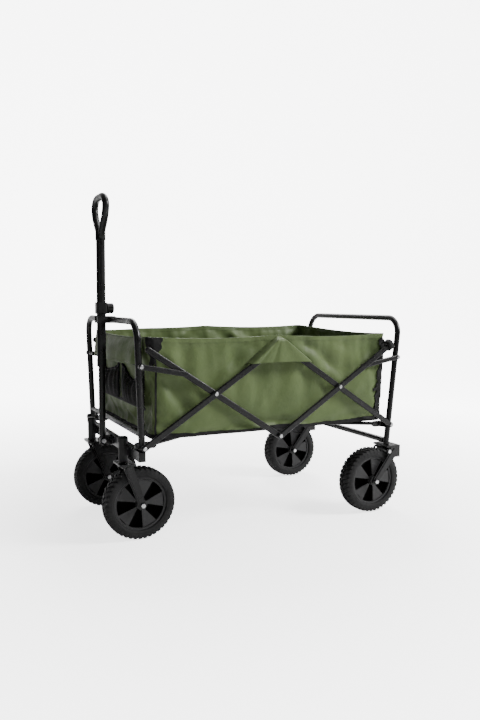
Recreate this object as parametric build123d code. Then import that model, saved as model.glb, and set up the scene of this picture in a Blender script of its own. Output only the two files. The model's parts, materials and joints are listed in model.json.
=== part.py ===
from build123d import *
import math
import os

# Folding camp wagon: two upright tube loops joined by a pair of folding
# side scissors, a fabric tub between them, four wheels and a pull handle.
# Millimetres. +X points to the rear, +Y to the left, +Z up, floor at z = 0.
# Everything is drawn about the fold's middle plane and moved by SHIFT_X at
# the end, so that the origin lies under the middle of the whole wagon.

os.makedirs("parts", exist_ok=True)

# ---- fold geometry -------------------------------------------------------
HALF_SPAN = 364.0      # middle plane to the lower rivet on each end loop
LOW_Z = 244.0          # height of the lower rivets
RISE = 236.6           # lower rivets to the top middle rivet
END_SHARE = 0.965      # free end of the inner crossing arms, share of the arm
LINK_SHARE = 0.718     # rivet of the short link, share of the arm
LINK_Z = 435.0         # height of the short link's rivet on the loop leg

# ---- arms and rivets -----------------------------------------------------
ARM_W = 15.0
LINK_W = 13.0
ARM_T = 7.0
ARM_WALL = 1.4
ARM_ROUND = 2.6
ARM_SOLID_END = 15.0   # flattened end beyond which the arm is hollow
RIVET_R = 3.0
RIVET_HEAD_R = 4.8
RIVET_HEAD_H = 2.2
RUN = 0.05             # radial running clearance of every pin
LAYER_GAP = 0.5        # side play between the layers of the scissor

# ---- end loops -----------------------------------------------------------
LOOP_R = 8.0
LOOP_WALL = 1.5
LOOP_Y = 226.0         # centre of each upright leg
LOOP_TOP_Z = 538.0
REAR_TOP_Z = 544.0
LOOP_CORNER_R = 46.0
FRONT_LEAN = 11.0      # how far the front loop's top leans outwards
REAR_LEAN = 29.0
REAR_LEG_Z = 187.5     # lower end of the rear legs
FORK_SEAT = 1.0        # drop from the rear legs' ends to the fork crowns
FRONT_CROSS_R = 6.0
REAR_CROSS_R = 8.0
FRONT_CROSS_Z = 272.0
REAR_CROSS_Z = 197.0
TOUCH = 0.3            # gap left where a soft or a round piece meets another

# ---- front base bar and casters -----------------------------------------
BASE_D = 16.0
BASE_H = 24.0
BASE_TOP_Z = 236.0
BASE_WALL = 1.6
BASE_OVERHANG = 14.0   # bar's end beyond the leg's centre
CAP_T = 3.0
CASTER_Y = 150.0
HOUSING_R = 11.0
HOUSING_BORE_R = 5.5
HOUSING_LOW_Z = 195.0
HOUSING_TOP_Z = 252.0
HOUSING_CAP_R = 13.0
HOUSING_CAP_H = 6.0
KNOB_RISE = 12.0       # corner stud's centre above the base bar
STUD_R = 8.0
STUD_H = 9.0
TRAIL = 39.0
CROWN_T = 5.0
CROWN_AHEAD = 17.0
CROWN_BEHIND = 24.0
CROWN_ROUND = 7.0
SKIRT_IN = 7.0         # the skirt is this much shorter than the crown
SKIRT_H = 4.0
STEM_TOP_GAP = 4.0

# ---- wheels and forks ----------------------------------------------------
WHEEL_R = 90.0
WHEEL_W = 45.0
RIM_R = 66.0
RIM_LIP = 5.0
RIM_W = 34.0
WEB_T = 6.0
SPOKE_COUNT = 5
SPOKE_ANGLE = 36.0     # width of each fan-shaped spoke at the rim
SPOKE_FACE = 15.0      # spoke face, out from the wheel's middle
HUB_R = 13.0
HUB_HALF = 26.8
AXLE_R = 4.0
FORK_GAP = 27.5        # wheel's middle to the fork leg's inner face
FORK_T = 3.5
FORK_FOOT_R = 9.0
FORK_HEAD_R = 12.0
FORK_RIB_IN = 4.0      # the raised rib is this much narrower each side
FORK_RIB_T = 2.0
NUT_R = 5.6
NUT_H = 5.5
REAR_WHEEL_AHEAD = 57.0   # rear axle in front of the rear legs' lower rivets
REAR_WHEEL_IN = 8.5       # rear wheel's middle inside the legs' centres
CHEEK_AHEAD = 13.0        # squared head of the rear fork, about the leg
CHEEK_BEHIND = 19.0
CHEEK_H = 34.0
REAR_PLATE_AHEAD = 27.0
REAR_CROWN_OUT = 8.0      # rear fork's head behind the legs' lower rivets
FORK_BOLT_AHEAD = 19.0
FORK_BOLT_DROP = 16.0

# ---- folding floor frame -------------------------------------------------
FLOOR_PIVOT_IN = 14.0  # corner pivots inside the legs' lower rivets
FLOOR_BAR_R = 5.0
FLOOR_EYE_R = 8.0
FLOOR_EYE_T = 6.0
HUB_Z = 240.0
HUB_TONGUE = 10.0      # tongue's thickness across the wagon
HUB_CHEEK = 5.0
HUB_BLOCK = 34.0       # width and length of each hub's solid block
HUB_REACH = 22.0       # pin to the face of the solid block
HUB_H = 16.0
LUG_T = 4.0

# ---- pull handle ---------------------------------------------------------
HANDLE_OUT = 21.0      # handle's axis in front of the base bar
PIVOT_Z = 222.0
PIVOT_R = 4.0
LOWER_R = 8.5
LOWER_WALL = 1.5
LOWER_DROP = 10.0      # lower tube's end below the pivot
LOWER_TOP_Z = 700.0
YOKE_T = 3.5
SLEEVE_R = 11.5
RING_R = 12.2
RING_LOW_Z = 416.0
RING_H = 20.0
COLLAR_W = 28.0
COLLAR_LOW_Z = 552.0
COLLAR_H = 30.0
GRIP_LOW_Z = 741.0
GRIP_TOP_Z = 858.0
GRIP_W = 122.0
GRIP_LIMB_R = 9.0
GRIP_NECK_R = 13.0
GRIP_NECK_H = 30.0
GRIP_SOCKET = 16.0
KNOB_R = 13.5
KNOB_H = 17.0
KNOB_FLUTES = 6
FLUTE_R = 4.0
FLUTE_DEEP = 2.0
FLUTE_START = 3.0
SCREW_R = 3.0
CLIP_H = 18.0
CLIP_T = 3.0
CLIP_SLACK = 0.4       # jaw clearance round the sleeve's lower ring

# ---- fabric tub ----------------------------------------------------------
TUB_LOW_Z = 258.0
TUB_TOP_Z = 503.0
TUB_WALL = 3.0
TUB_CORNER_R = 14.0
FOOT_CLEAR = (29.0, 26.0)   # tub's foot inside the lower rivets, front and rear
RIM_CLEAR = (11.0, 19.0)    # the same at the rim
TUB_LOW_IN = 4.0            # tub's foot inside the legs' centres
TUB_TOP_IN = 4.5            # tub's rim inside the inner arms
MAT_T = 5.0
MAT_MARGIN = 10.0
STRAP_W = 25.0
STRAP_T = 2.0
STRAP_PLACES = (-150.0, 0.0, 150.0)

# ---- worked out ----------------------------------------------------------
INNER_Y = LOOP_Y + LOOP_R + LAYER_GAP
OUTER_Y = INNER_Y + ARM_T + LAYER_GAP
BASE_X = -HALF_SPAN - BASE_D / 4
BASE_FRONT_X = BASE_X - BASE_D / 2
BASE_HALF_W = LOOP_Y + BASE_OVERHANG
CASTER_X = BASE_FRONT_X - HOUSING_R
HANDLE_X = BASE_FRONT_X - HANDLE_OUT
FLOOR_PIVOT_X = HALF_SPAN - FLOOR_PIVOT_IN
REAR_WHEEL_X = HALF_SPAN - REAR_WHEEL_AHEAD
REAR_WHEEL_Y = LOOP_Y - REAR_WHEEL_IN
REAR_CROWN_X = HALF_SPAN + REAR_CROWN_OUT
TUB_LOW_X = (FOOT_CLEAR[0] - HALF_SPAN, HALF_SPAN - FOOT_CLEAR[1])
TUB_TOP_X = (RIM_CLEAR[0] - HALF_SPAN, HALF_SPAN - RIM_CLEAR[1])
TUB_LOW_Y = LOOP_Y - TUB_LOW_IN
TUB_TOP_Y = INNER_Y - TUB_TOP_IN
FRONT_WHEEL_X = CASTER_X + TRAIL
CROWN_TOP_Z = HOUSING_LOW_Z - 1.0
FRONT_LEG_Z = BASE_TOP_Z + LOOP_R * FRONT_LEAN / (LOOP_TOP_Z - LOW_Z)
REAR_TOP_REACH = HALF_SPAN + REAR_LEAN * (REAR_TOP_Z - LOW_Z) / (LOOP_TOP_Z - LOW_Z) + LOOP_R
REAR_REACH = max(REAR_TOP_REACH, REAR_CROWN_X + CHEEK_BEHIND, REAR_WHEEL_X + WHEEL_R)
SHIFT_X = (WHEEL_R - FRONT_WHEEL_X - REAR_REACH) / 2
KNOB_Z = COLLAR_LOW_Z + COLLAR_H / 2
FORK_TOP_Z = REAR_LEG_Z - FORK_SEAT
FORK_BOLT = (REAR_CROWN_X - FORK_BOLT_AHEAD, FORK_TOP_Z - FORK_BOLT_DROP)


def arm_point(low_x, top_x, share):
    """Point (x, z) at a share of the way from a low rivet to a top rivet."""
    return (low_x + (top_x - low_x) * share, LOW_Z + RISE * share)


PIN_A = (-HALF_SPAN, LOW_Z)
PIN_B = arm_point(-HALF_SPAN, 0.0, 0.5)
PIN_D = (0.0, LOW_Z)
PIN_T = (0.0, LOW_Z + RISE)
PIN_E = arm_point(HALF_SPAN, 0.0, 0.5)
PIN_H = (HALF_SPAN, LOW_Z)
PIN_C = arm_point(0.0, -HALF_SPAN, LINK_SHARE)
PIN_F = arm_point(0.0, HALF_SPAN, LINK_SHARE)
END_P = arm_point(0.0, -HALF_SPAN, END_SHARE)
END_Q = arm_point(0.0, HALF_SPAN, END_SHARE)


def leg_x(end, z):
    """Centre of a loop's leg at height z: end is -1 at the front, 1 at the rear."""
    lean = FRONT_LEAN if end < 0 else REAR_LEAN
    return end * (HALF_SPAN + lean * (z - LOW_Z) / (LOOP_TOP_Z - LOW_Z))


PIN_GF = (leg_x(-1, LINK_Z), LINK_Z)
PIN_GR = (leg_x(1, LINK_Z), LINK_Z)


# ---- small builders ------------------------------------------------------
def write(node, *solids):
    """Write one node, moved from the fold's middle plane to the wagon's origin."""
    shape = Compound([Pos(SHIFT_X, 0, 0) * s for s in solids])
    shape.label = node
    export_step(shape, f"parts/{node}.step")


def one(shape):
    """The single solid of a boolean's result."""
    return shape.solids()[0]


def rod(start, end, radius):
    """Solid round bar from one point to another."""
    start, end = Vector(*start), Vector(*end)
    run = end - start
    return Solid.make_cylinder(radius, run.length, Plane(origin=start, z_dir=run))


def rod_y(pin, y0, y1, radius):
    """Round bar along Y through an (x, z) point."""
    return rod((pin[0], min(y0, y1), pin[1]), (pin[0], max(y0, y1), pin[1]), radius)


def ring_y(pin, y0, y1, outer, inner):
    return one(rod_y(pin, y0, y1, outer) - rod_y(pin, y0 - 1, y1 + 1, inner))


def block(x, y, z):
    """Box between two values on each axis."""
    size = (x[1] - x[0], y[1] - y[0], z[1] - z[0])
    return Pos((x[0] + x[1]) / 2, (y[0] + y[1]) / 2, (z[0] + z[1]) / 2) * Box(*size)


def flat_bar(start, end, width, y0, y1):
    """Bar with round ends between two (x, z) points, from y0 to y1."""
    dx, dz = end[0] - start[0], end[1] - start[1]
    middle = ((start[0] + end[0]) / 2, min(y0, y1), (start[1] + end[1]) / 2)
    plane = Plane(origin=middle, x_dir=(dx, 0, dz), z_dir=(0, 1, 0))
    return extrude(plane * SlotCenterToCenter(math.hypot(dx, dz), width), abs(y1 - y0))


def taper_plate(head, head_r, foot, foot_r, y0, y1):
    """Plate that narrows from a round head to a round foot, in the XZ plane."""
    dx, dz = foot[0] - head[0], foot[1] - head[1]
    plane = Plane(origin=(head[0], min(y0, y1), head[1]), x_dir=(dx, 0, dz), z_dir=(0, 1, 0))
    outline = Circle(head_r) + Pos(math.hypot(dx, dz), 0) * Circle(foot_r)
    return extrude(plane * make_hull(outline.edges()), abs(y1 - y0))


def span(side, inner, outer):
    """Y range between two distances from the middle, on one side."""
    return tuple(sorted((side * inner, side * outer)))


def rivet(pin, y0, y1, collar=None):
    """Rivet along Y with a low round head beyond y0 and y1, and an optional
    spacing collar (from, to) between the layers."""
    low, high = min(y0, y1), max(y0, y1)
    body = rod_y(pin, low, high, RIVET_R)
    for inner, outer in ((low, low - RIVET_HEAD_H), (high, high + RIVET_HEAD_H)):
        head = rod_y(pin, inner, outer, RIVET_HEAD_R)
        rim = head.edges().filter_by(GeomType.CIRCLE).sort_by(Axis.Y)[0 if outer < inner else -1]
        body = body + chamfer(rim, RIVET_HEAD_H * 0.6)
    if collar:
        body = body + rod_y(pin, collar[0], collar[1], RIVET_HEAD_R)
    return one(body)


def hole(pin, radius=RIVET_R + RUN):
    """Cutter along Y through the whole wagon."""
    return rod_y(pin, -2 * LOOP_Y, 2 * LOOP_Y, radius)


def hex_nut(pin, y0, y1, bore):
    plane = Plane(origin=(pin[0], min(y0, y1), pin[1]), x_dir=(1, 0, 0), z_dir=(0, 1, 0))
    return one(extrude(plane * RegularPolygon(NUT_R, 6), abs(y1 - y0)) - hole(pin, bore))


# ---- scissor arms --------------------------------------------------------
def arm(start, end, side, inner_y, holes, width=ARM_W):
    """Flat oval steel tube with flattened, drilled ends."""
    y = span(side, inner_y, inner_y + ARM_T)
    body = flat_bar(start, end, width, *y)
    long_edges = [e for e in body.edges() if abs(e.center().Y - (y[0] + y[1]) / 2) > 1]
    body = fillet(long_edges, ARM_ROUND)
    length = math.hypot(end[0] - start[0], end[1] - start[1])
    cut = ARM_SOLID_END / length
    a = tuple(s + (e - s) * cut for s, e in zip(start, end))
    b = tuple(e + (s - e) * cut for s, e in zip(start, end))
    body = body - flat_bar(a, b, width - 2 * ARM_WALL, y[0] + ARM_WALL, y[1] - ARM_WALL)
    for pin in holes:
        body = body - hole(pin)
    return one(body)


def layer_rivet(side, pin, first, last):
    """Rivet through the layers between two distances from the middle."""
    y = span(side, first - LAYER_GAP / 2, last + LAYER_GAP / 2)
    return rivet(pin, *y)


INNER_END = INNER_Y + ARM_T
OUTER_END = OUTER_Y + ARM_T
for name, side in (("left", 1), ("right", -1)):
    write(f"arm_a_{name}", arm(PIN_A, PIN_T, side, OUTER_Y, (PIN_A, PIN_B, PIN_T)))
    write(f"arm_b_{name}", arm(PIN_D, END_P, side, INNER_Y, (PIN_D, PIN_B)))
    write(f"arm_c_{name}", arm(PIN_D, END_Q, side, OUTER_Y, (PIN_D, PIN_E)))
    write(f"arm_d_{name}", arm(PIN_H, PIN_T, side, INNER_Y, (PIN_H, PIN_E, PIN_T)))

write("front_links", *[arm(PIN_GF, PIN_C, s, OUTER_Y, (PIN_GF,), LINK_W) for s in (1, -1)])
write("rear_links", *[arm(PIN_GR, PIN_F, s, INNER_Y, (PIN_GR,), LINK_W) for s in (1, -1)])
write("arm_rivets_a", *[layer_rivet(s, p, INNER_Y, OUTER_END) for s in (1, -1) for p in (PIN_B, PIN_T)])
write("arm_rivets_b", *[layer_rivet(s, PIN_D, INNER_Y, OUTER_END) for s in (1, -1)])
write("arm_rivets_d", *[layer_rivet(s, PIN_E, INNER_Y, OUTER_END) for s in (1, -1)])


# ---- end loops -----------------------------------------------------------
def loop_tube(end, low_z, top_z, pins):
    """Upright bent tube with the legs drilled for their rivets."""
    low, top = leg_x(end, low_z), leg_x(end, top_z)
    right = [(low, -LOOP_Y, low_z), (top, -LOOP_Y, top_z)]
    left = [(top, LOOP_Y, top_z), (low, LOOP_Y, low_z)]
    path = FilletPolyline(*right, *left, radius=LOOP_CORNER_R)
    plane = Plane(origin=path @ 0, z_dir=path % 0)
    tube = sweep(plane * (Circle(LOOP_R) - Circle(LOOP_R - LOOP_WALL)), path=path)
    for pin in pins:
        tube = tube - hole(pin)
    return one(tube)


def leg_rivet(side, pin, first, last, collar=None):
    """Rivet from the loop leg's inner face out through its arm."""
    y = span(side, first - LAYER_GAP / 2, last + LAYER_GAP / 2)
    return rivet(pin, *y, collar=span(side, *collar) if collar else None)


write("front_loop_tube", loop_tube(-1, FRONT_LEG_Z, LOOP_TOP_Z, (PIN_A, PIN_GF)))
write("rear_loop_tube", loop_tube(1, REAR_LEG_Z, REAR_TOP_Z, (PIN_H, PIN_GR)))
LEG_INNER = LOOP_Y - LOOP_R
SPACER = (LOOP_Y + LOOP_R + TOUCH, OUTER_Y - LAYER_GAP / 2)
write(
    "front_leg_rivets",
    *[leg_rivet(s, p, LEG_INNER, OUTER_END, SPACER) for s in (1, -1) for p in (PIN_A, PIN_GF)],
)


def cross_tube(x, z, radius):
    reach = LOOP_Y - LOOP_R - TOUCH
    return one(rod_y((x, z), -reach, reach, radius) - rod_y((x, z), -reach, reach, radius - LOOP_WALL))


FRONT_CROSS_X = leg_x(-1, FRONT_CROSS_Z)
write("front_cross_tube", cross_tube(FRONT_CROSS_X, FRONT_CROSS_Z, FRONT_CROSS_R))
write("rear_cross_tube", cross_tube(leg_x(1, REAR_CROSS_Z), REAR_CROSS_Z, REAR_CROSS_R))


# ---- front base bar, brackets and caster housings ------------------------
def base_bar():
    x = (BASE_X - BASE_D / 2, BASE_X + BASE_D / 2)
    z = (BASE_TOP_Z - BASE_H, BASE_TOP_Z)
    y = (-BASE_HALF_W, BASE_HALF_W)
    inside = [(v[0] + BASE_WALL, v[1] - BASE_WALL) for v in (x, z)]
    return one(block(x, y, z) - block(inside[0], (y[0] - 1, y[1] + 1), inside[1]))


def base_end_cap(side):
    y = span(side, BASE_HALF_W, BASE_HALF_W + CAP_T)
    z = (BASE_TOP_Z - BASE_H, BASE_TOP_Z)
    cap = block((BASE_X - BASE_D / 2, BASE_X + BASE_D / 2), y, z)
    rim = cap.faces().sort_by(Axis.Y)[-1 if side > 0 else 0].edges()
    return one(chamfer(rim, CAP_T / 2))


def corner_bracket(end, side):
    """Plate on the inside of a leg that carries the floor frame's pivot."""
    outer = LEG_INNER - RIVET_HEAD_H - LAYER_GAP
    y = span(side, outer - LUG_T, outer)
    leg = (leg_x(end, LOW_Z), LOW_Z)
    pivot = (end * FLOOR_PIVOT_X, LOW_Z)
    plate = taper_plate(leg, FLOOR_EYE_R + 3, pivot, FLOOR_EYE_R, *y)
    plate = plate + rod_y(leg, side * outer, side * (LEG_INNER - TOUCH), FLOOR_EYE_R + 1)
    plate = plate - hole(leg, RIVET_HEAD_R + RUN)
    if end < 0:
        below = block((-HALF_SPAN - 30, -FLOOR_PIVOT_X + 30), (-BASE_HALF_W, BASE_HALF_W), (0, BASE_TOP_Z))
        plate = plate - hole(pivot) - below
    return one(plate)


def caster_housing(side):
    x, y = CASTER_X, side * CASTER_Y
    shell = rod((x, y, HOUSING_LOW_Z), (x, y, HOUSING_TOP_Z), HOUSING_R)
    collar = rod((x, y, HOUSING_TOP_Z - HOUSING_CAP_H), (x, y, HOUSING_TOP_Z), HOUSING_CAP_R)
    bore = rod((x, y, HOUSING_LOW_Z - 1), (x, y, HOUSING_TOP_Z + 1), HOUSING_BORE_R + RUN)
    pad = block((x, BASE_FRONT_X), (y - HOUSING_R, y + HOUSING_R), (BASE_TOP_Z - BASE_H, BASE_TOP_Z))
    over = block((BASE_FRONT_X, x + 2 * HOUSING_R), (y - 30, y + 30), (HOUSING_LOW_Z, HOUSING_TOP_Z + 1))
    return one(shell + collar + pad - over - bore)


def caster_cap(side):
    """Plastic cap over the housing, with a low crown."""
    x, y = CASTER_X, side * CASTER_Y
    cap = rod((x, y, HOUSING_TOP_Z), (x, y, HOUSING_TOP_Z + HOUSING_CAP_H), HOUSING_CAP_R)
    rim = cap.edges().filter_by(GeomType.CIRCLE).sort_by(Axis.Z)[-1]
    over = block((BASE_FRONT_X, x + 2 * HOUSING_R), (y - 30, y + 30), (HOUSING_TOP_Z - 1, LOOP_TOP_Z))
    return one(chamfer(rim, HOUSING_CAP_H * 0.5) - over)


def corner_knob(side):
    """Round plastic stud that carries the front of the corner joint."""
    z = BASE_TOP_Z + KNOB_RISE
    x = leg_x(-1, z) - LOOP_R - TOUCH
    stud = rod((x, side * LOOP_Y, z), (x - STUD_H, side * LOOP_Y, z), STUD_R)
    rim = stud.edges().filter_by(GeomType.CIRCLE).sort_by(Axis.X)[0]
    return one(chamfer(rim, STUD_R * 0.3))


write("front_base_bar", base_bar())
write("front_base_end_caps", *[base_end_cap(s) for s in (1, -1)])
write("front_corner_brackets", *[corner_bracket(-1, s) for s in (1, -1)])
write("rear_corner_brackets", *[corner_bracket(1, s) for s in (1, -1)])
write("corner_knobs", *[corner_knob(s) for s in (1, -1)])
write("caster_caps", *[caster_cap(s) for s in (1, -1)])


# ---- forks, axles and wheels ---------------------------------------------
def fork_legs(head, axle, y_mid):
    """Two tapered stamped legs with a raised middle rib, joined by a crown."""
    legs = None
    for face in (-1, 1):
        inner = y_mid + face * FORK_GAP
        outer = inner + face * FORK_T
        leg = taper_plate(head, FORK_HEAD_R, axle, FORK_FOOT_R, inner, outer)
        rib_head, rib_foot = FORK_HEAD_R - FORK_RIB_IN, FORK_FOOT_R - FORK_RIB_IN
        rib = taper_plate(head, rib_head, axle, rib_foot, outer, outer + face * FORK_RIB_T)
        legs = leg + rib if legs is None else legs + leg + rib
    return legs - hole(axle, AXLE_R + RUN)


def axle_bolt(axle, y_mid):
    """Axle with a hex head at one end and a nut at the other."""
    reach = FORK_GAP + FORK_T + FORK_RIB_T + TOUCH
    shaft = rod_y(axle, y_mid - reach - NUT_H, y_mid + reach + NUT_H, AXLE_R)
    nuts = [hex_nut(axle, y_mid + f * reach, y_mid + f * (reach + NUT_H), AXLE_R - 1) for f in (1, -1)]
    return one(shaft + nuts[0] + nuts[1])


def wheel_rim(axle, y_mid):
    """Moulded wheel: hub, thin web, outer band and five fan-shaped spokes."""
    def disc(radius, half):
        return rod_y(axle, y_mid - half, y_mid + half, radius)

    half = RIM_W / 2
    band = disc(RIM_R, half) - disc(RIM_R - RIM_LIP, half + 1)
    rim = band + disc(RIM_R - 1, WEB_T / 2) + disc(HUB_R, HUB_HALF)
    width = math.radians(SPOKE_ANGLE / 2)
    root, tip = HUB_R - 2, RIM_R - RIM_LIP + 1
    for i in range(SPOKE_COUNT):
        turn = math.radians(-5 + i * 360 / SPOKE_COUNT)
        corners = []
        for radius, sign, share in ((root, -1, 0.5), (tip, -1, 1), (tip, 1, 1), (root, 1, 0.5)):
            angle = turn + sign * width * share
            corners.append((radius * math.cos(angle), radius * math.sin(angle)))
        plane = Plane(origin=(axle[0], y_mid - SPOKE_FACE, axle[1]), x_dir=(1, 0, 0), z_dir=(0, 1, 0))
        rim = rim + extrude(plane * Polygon(*corners, align=None), 2 * SPOKE_FACE)
    return one(rim - hole(axle, AXLE_R + RUN))


def tyre(axle, y_mid):
    """Solid tyre with rounded shoulders and three grooves in its tread."""
    half = WHEEL_W / 2
    body = rod_y(axle, y_mid - half, y_mid + half, WHEEL_R)
    rims = [e for e in body.edges().filter_by(GeomType.CIRCLE) if e.radius > WHEEL_R - 1]
    body = fillet(rims, 9.0)
    body = body - rod_y(axle, y_mid - half - 1, y_mid + half + 1, RIM_R + RUN)
    for offset in (-10.0, 0.0, 10.0):
        groove = ring_y(axle, y_mid + offset - 1.5, y_mid + offset + 1.5, WHEEL_R + 1, WHEEL_R - 3)
        body = body - groove
    return one(body)


def caster_fork(side):
    """Swivel fork: crown plate, stem in the housing's bore and two legs."""
    y_mid = side * CASTER_Y
    axle = (FRONT_WHEEL_X, WHEEL_R)
    head = (CASTER_X + FORK_HEAD_R / 2, CROWN_TOP_Z - FORK_HEAD_R)
    reach = FORK_GAP + FORK_T
    y, low = (y_mid - reach, y_mid + reach), CROWN_TOP_Z - CROWN_T
    crown = block((CASTER_X - CROWN_AHEAD, CASTER_X + CROWN_BEHIND), y, (low, CROWN_TOP_Z))
    crown = fillet(crown.edges().filter_by(Axis.Z), CROWN_ROUND)
    skirt_x = (CASTER_X - CROWN_AHEAD + SKIRT_IN, CASTER_X + CROWN_BEHIND - SKIRT_IN)
    skirt = block(skirt_x, y, (low - SKIRT_H, CROWN_TOP_Z - CROWN_T / 2))
    stem_low, stem_top = (CASTER_X, y_mid, CROWN_TOP_Z - 1), (CASTER_X, y_mid, HOUSING_TOP_Z - STEM_TOP_GAP)
    stem = rod(stem_low, stem_top, HOUSING_BORE_R)
    return one(fork_legs(head, axle, y_mid) + crown + skirt + stem)


def rear_fork(side):
    """Fixed fork that carries a rear wheel in front of its leg."""
    y_mid = side * REAR_WHEEL_Y
    axle = (REAR_WHEEL_X, WHEEL_R)
    head = (REAR_CROWN_X, FORK_TOP_Z - CHEEK_H / 2)
    reach = FORK_GAP + FORK_T
    y, back_x = (y_mid - reach, y_mid + reach), REAR_CROWN_X + CHEEK_BEHIND
    crown = block((REAR_CROWN_X - REAR_PLATE_AHEAD, back_x), y, (FORK_TOP_Z - CROWN_T, FORK_TOP_Z))
    back = block((back_x - FORK_T, back_x), y, (FORK_TOP_Z - CHEEK_H * 0.8, FORK_TOP_Z))
    body = fork_legs(head, axle, y_mid) + crown + back
    for face in (-1, 1):
        cheek_y = sorted((y_mid + face * FORK_GAP, y_mid + face * reach))
        body = body + block((REAR_CROWN_X - CHEEK_AHEAD, back_x), cheek_y, (FORK_TOP_Z - CHEEK_H, FORK_TOP_Z))
        lug = rod_y(FORK_BOLT, *cheek_y, FORK_HEAD_R / 1.5)
        body = body + lug
    return one(body - hole(FORK_BOLT, RIVET_R + RUN))


def fork_bolt(side):
    """Short bolt in the outer leg of a rear fork."""
    inner = REAR_WHEEL_Y + FORK_GAP - RIVET_HEAD_H
    outer = REAR_WHEEL_Y + FORK_GAP + FORK_T + TOUCH
    shank = rod_y(FORK_BOLT, side * inner, side * outer, RIVET_R)
    head = rod_y(FORK_BOLT, side * outer, side * (outer + RIVET_HEAD_H), RIVET_HEAD_R)
    return one(shank + head)


rear_rivets = [leg_rivet(s, p, LEG_INNER, INNER_END) for s in (1, -1) for p in (PIN_H, PIN_GR)]
write("rear_rivets_and_bolts", *rear_rivets, *[fork_bolt(s) for s in (1, -1)])
write("caster_housings", *[caster_housing(s) for s in (1, -1)])
write("rear_axles", *[axle_bolt((REAR_WHEEL_X, WHEEL_R), s * REAR_WHEEL_Y) for s in (1, -1)])
for name, side in (("left", 1), ("right", -1)):
    front_axle, rear_axle = (FRONT_WHEEL_X, WHEEL_R), (REAR_WHEEL_X, WHEEL_R)
    front_y, rear_y = side * CASTER_Y, side * REAR_WHEEL_Y
    write(f"caster_fork_{name}", caster_fork(side))
    write(f"rear_fork_{name}", rear_fork(side))
    write(f"front_axle_{name}", axle_bolt(front_axle, front_y))
    for place, axle, y_mid in (("front", front_axle, front_y), ("rear", rear_axle, rear_y)):
        write(f"{place}_wheel_rim_{name}", wheel_rim(axle, y_mid))
        write(f"{place}_tyre_{name}", tyre(axle, y_mid))


# ---- folding floor frame -------------------------------------------------
HUB_PIN = (0.0, HUB_Z)


def hub_block(end):
    """Solid block of one hub half, between the pin and the bars."""
    near, far = end * HUB_REACH, end * (HUB_REACH + HUB_BLOCK)
    x = (min(near, far), max(near, far))
    return block(x, (-HUB_BLOCK / 2, HUB_BLOCK / 2), (HUB_Z - HUB_H / 2, HUB_Z + HUB_H / 2))


def floor_hub(end):
    """Front hub ends in a tongue, rear hub in two cheeks round it."""
    mid = (end * HUB_REACH * 1.1, HUB_Z)
    if end < 0:
        ends = flat_bar(mid, HUB_PIN, HUB_H, -HUB_TONGUE / 2, HUB_TONGUE / 2)
    else:
        low = HUB_TONGUE / 2 + LAYER_GAP
        ends = flat_bar(mid, HUB_PIN, HUB_H, low, low + HUB_CHEEK)
        ends = ends + flat_bar(mid, HUB_PIN, HUB_H, -low - HUB_CHEEK, -low)
    return one(hub_block(end) + ends - hole(HUB_PIN))


def floor_bar(end, side):
    """Diagonal tube from a corner eye to the hub's block."""
    outer = LEG_INNER - RIVET_HEAD_H - 2 * LAYER_GAP - LUG_T
    eye_y = span(side, outer - FLOOR_EYE_T, outer)
    pivot = (end * FLOOR_PIVOT_X, LOW_Z)
    start = Vector(pivot[0] - end * 1.5 * FLOOR_EYE_R, side * (outer - FLOOR_EYE_T), LOW_Z)
    block_end = HUB_REACH + HUB_BLOCK
    stop = Vector(end * block_end, side * (HUB_BLOCK / 2 - FLOOR_BAR_R), HUB_Z)
    bar = rod(start, stop + (stop - start).normalized() * 2 * FLOOR_BAR_R, FLOOR_BAR_R)
    bar = bar - block((-block_end, block_end), (-HUB_BLOCK, HUB_BLOCK), (0, LOOP_TOP_Z))
    eye = flat_bar(pivot, (start.X - end * FLOOR_EYE_R, LOW_Z), 2 * FLOOR_EYE_R, *eye_y)
    body = bar + eye
    return one(body - hole(pivot)) if end < 0 else one(body)


def hub_pin():
    reach = HUB_TONGUE / 2 + LAYER_GAP + HUB_CHEEK + LAYER_GAP / 2
    return rivet(HUB_PIN, -reach, reach)


def corner_pin(side):
    """Rivet of the front corner pivot, from the lug through the bar's eye."""
    outer = LEG_INNER - RIVET_HEAD_H - LAYER_GAP
    inner = outer - LUG_T - LAYER_GAP - FLOOR_EYE_T
    return rod_y((-FLOOR_PIVOT_X, LOW_Z), side * inner, side * outer, RIVET_R)


write("floor_hub_front", floor_hub(-1))
write("floor_hub_rear", floor_hub(1))
write("floor_pins", hub_pin(), *[corner_pin(s) for s in (1, -1)])
for name, side in (("left", 1), ("right", -1)):
    write(f"floor_bar_front_{name}", floor_bar(-1, side))
    write(f"floor_bar_rear_{name}", floor_bar(1, side))


# ---- pull handle ---------------------------------------------------------
def yoke():
    """Folded plate on the base bar with a cheek each side of the handle."""
    low, high = BASE_TOP_Z - BASE_H, BASE_TOP_Z
    cheek = LOWER_R + LAYER_GAP
    plate = block((BASE_FRONT_X - YOKE_T, BASE_FRONT_X), (-cheek - YOKE_T, cheek + YOKE_T), (low, high))
    pin = (HANDLE_X, PIVOT_Z)
    for side in (1, -1):
        y = span(side, cheek, cheek + YOKE_T)
        plate = plate + flat_bar((BASE_FRONT_X - YOKE_T, PIVOT_Z), pin, BASE_H * 0.8, *y)
    plate = plate - block((BASE_FRONT_X, -HALF_SPAN + 40), (-40, 40), (0, LOOP_TOP_Z))
    return one(plate - hole(pin, PIVOT_R + RUN))


def pivot_bolt():
    reach = LOWER_R + LAYER_GAP + YOKE_T + TOUCH
    pin = (HANDLE_X, PIVOT_Z)
    shaft = rod_y(pin, -reach, reach, PIVOT_R)
    for side in (1, -1):
        shaft = shaft + rod_y(pin, side * reach, side * (reach + 4), NUT_R)
    return one(shaft)


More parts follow.
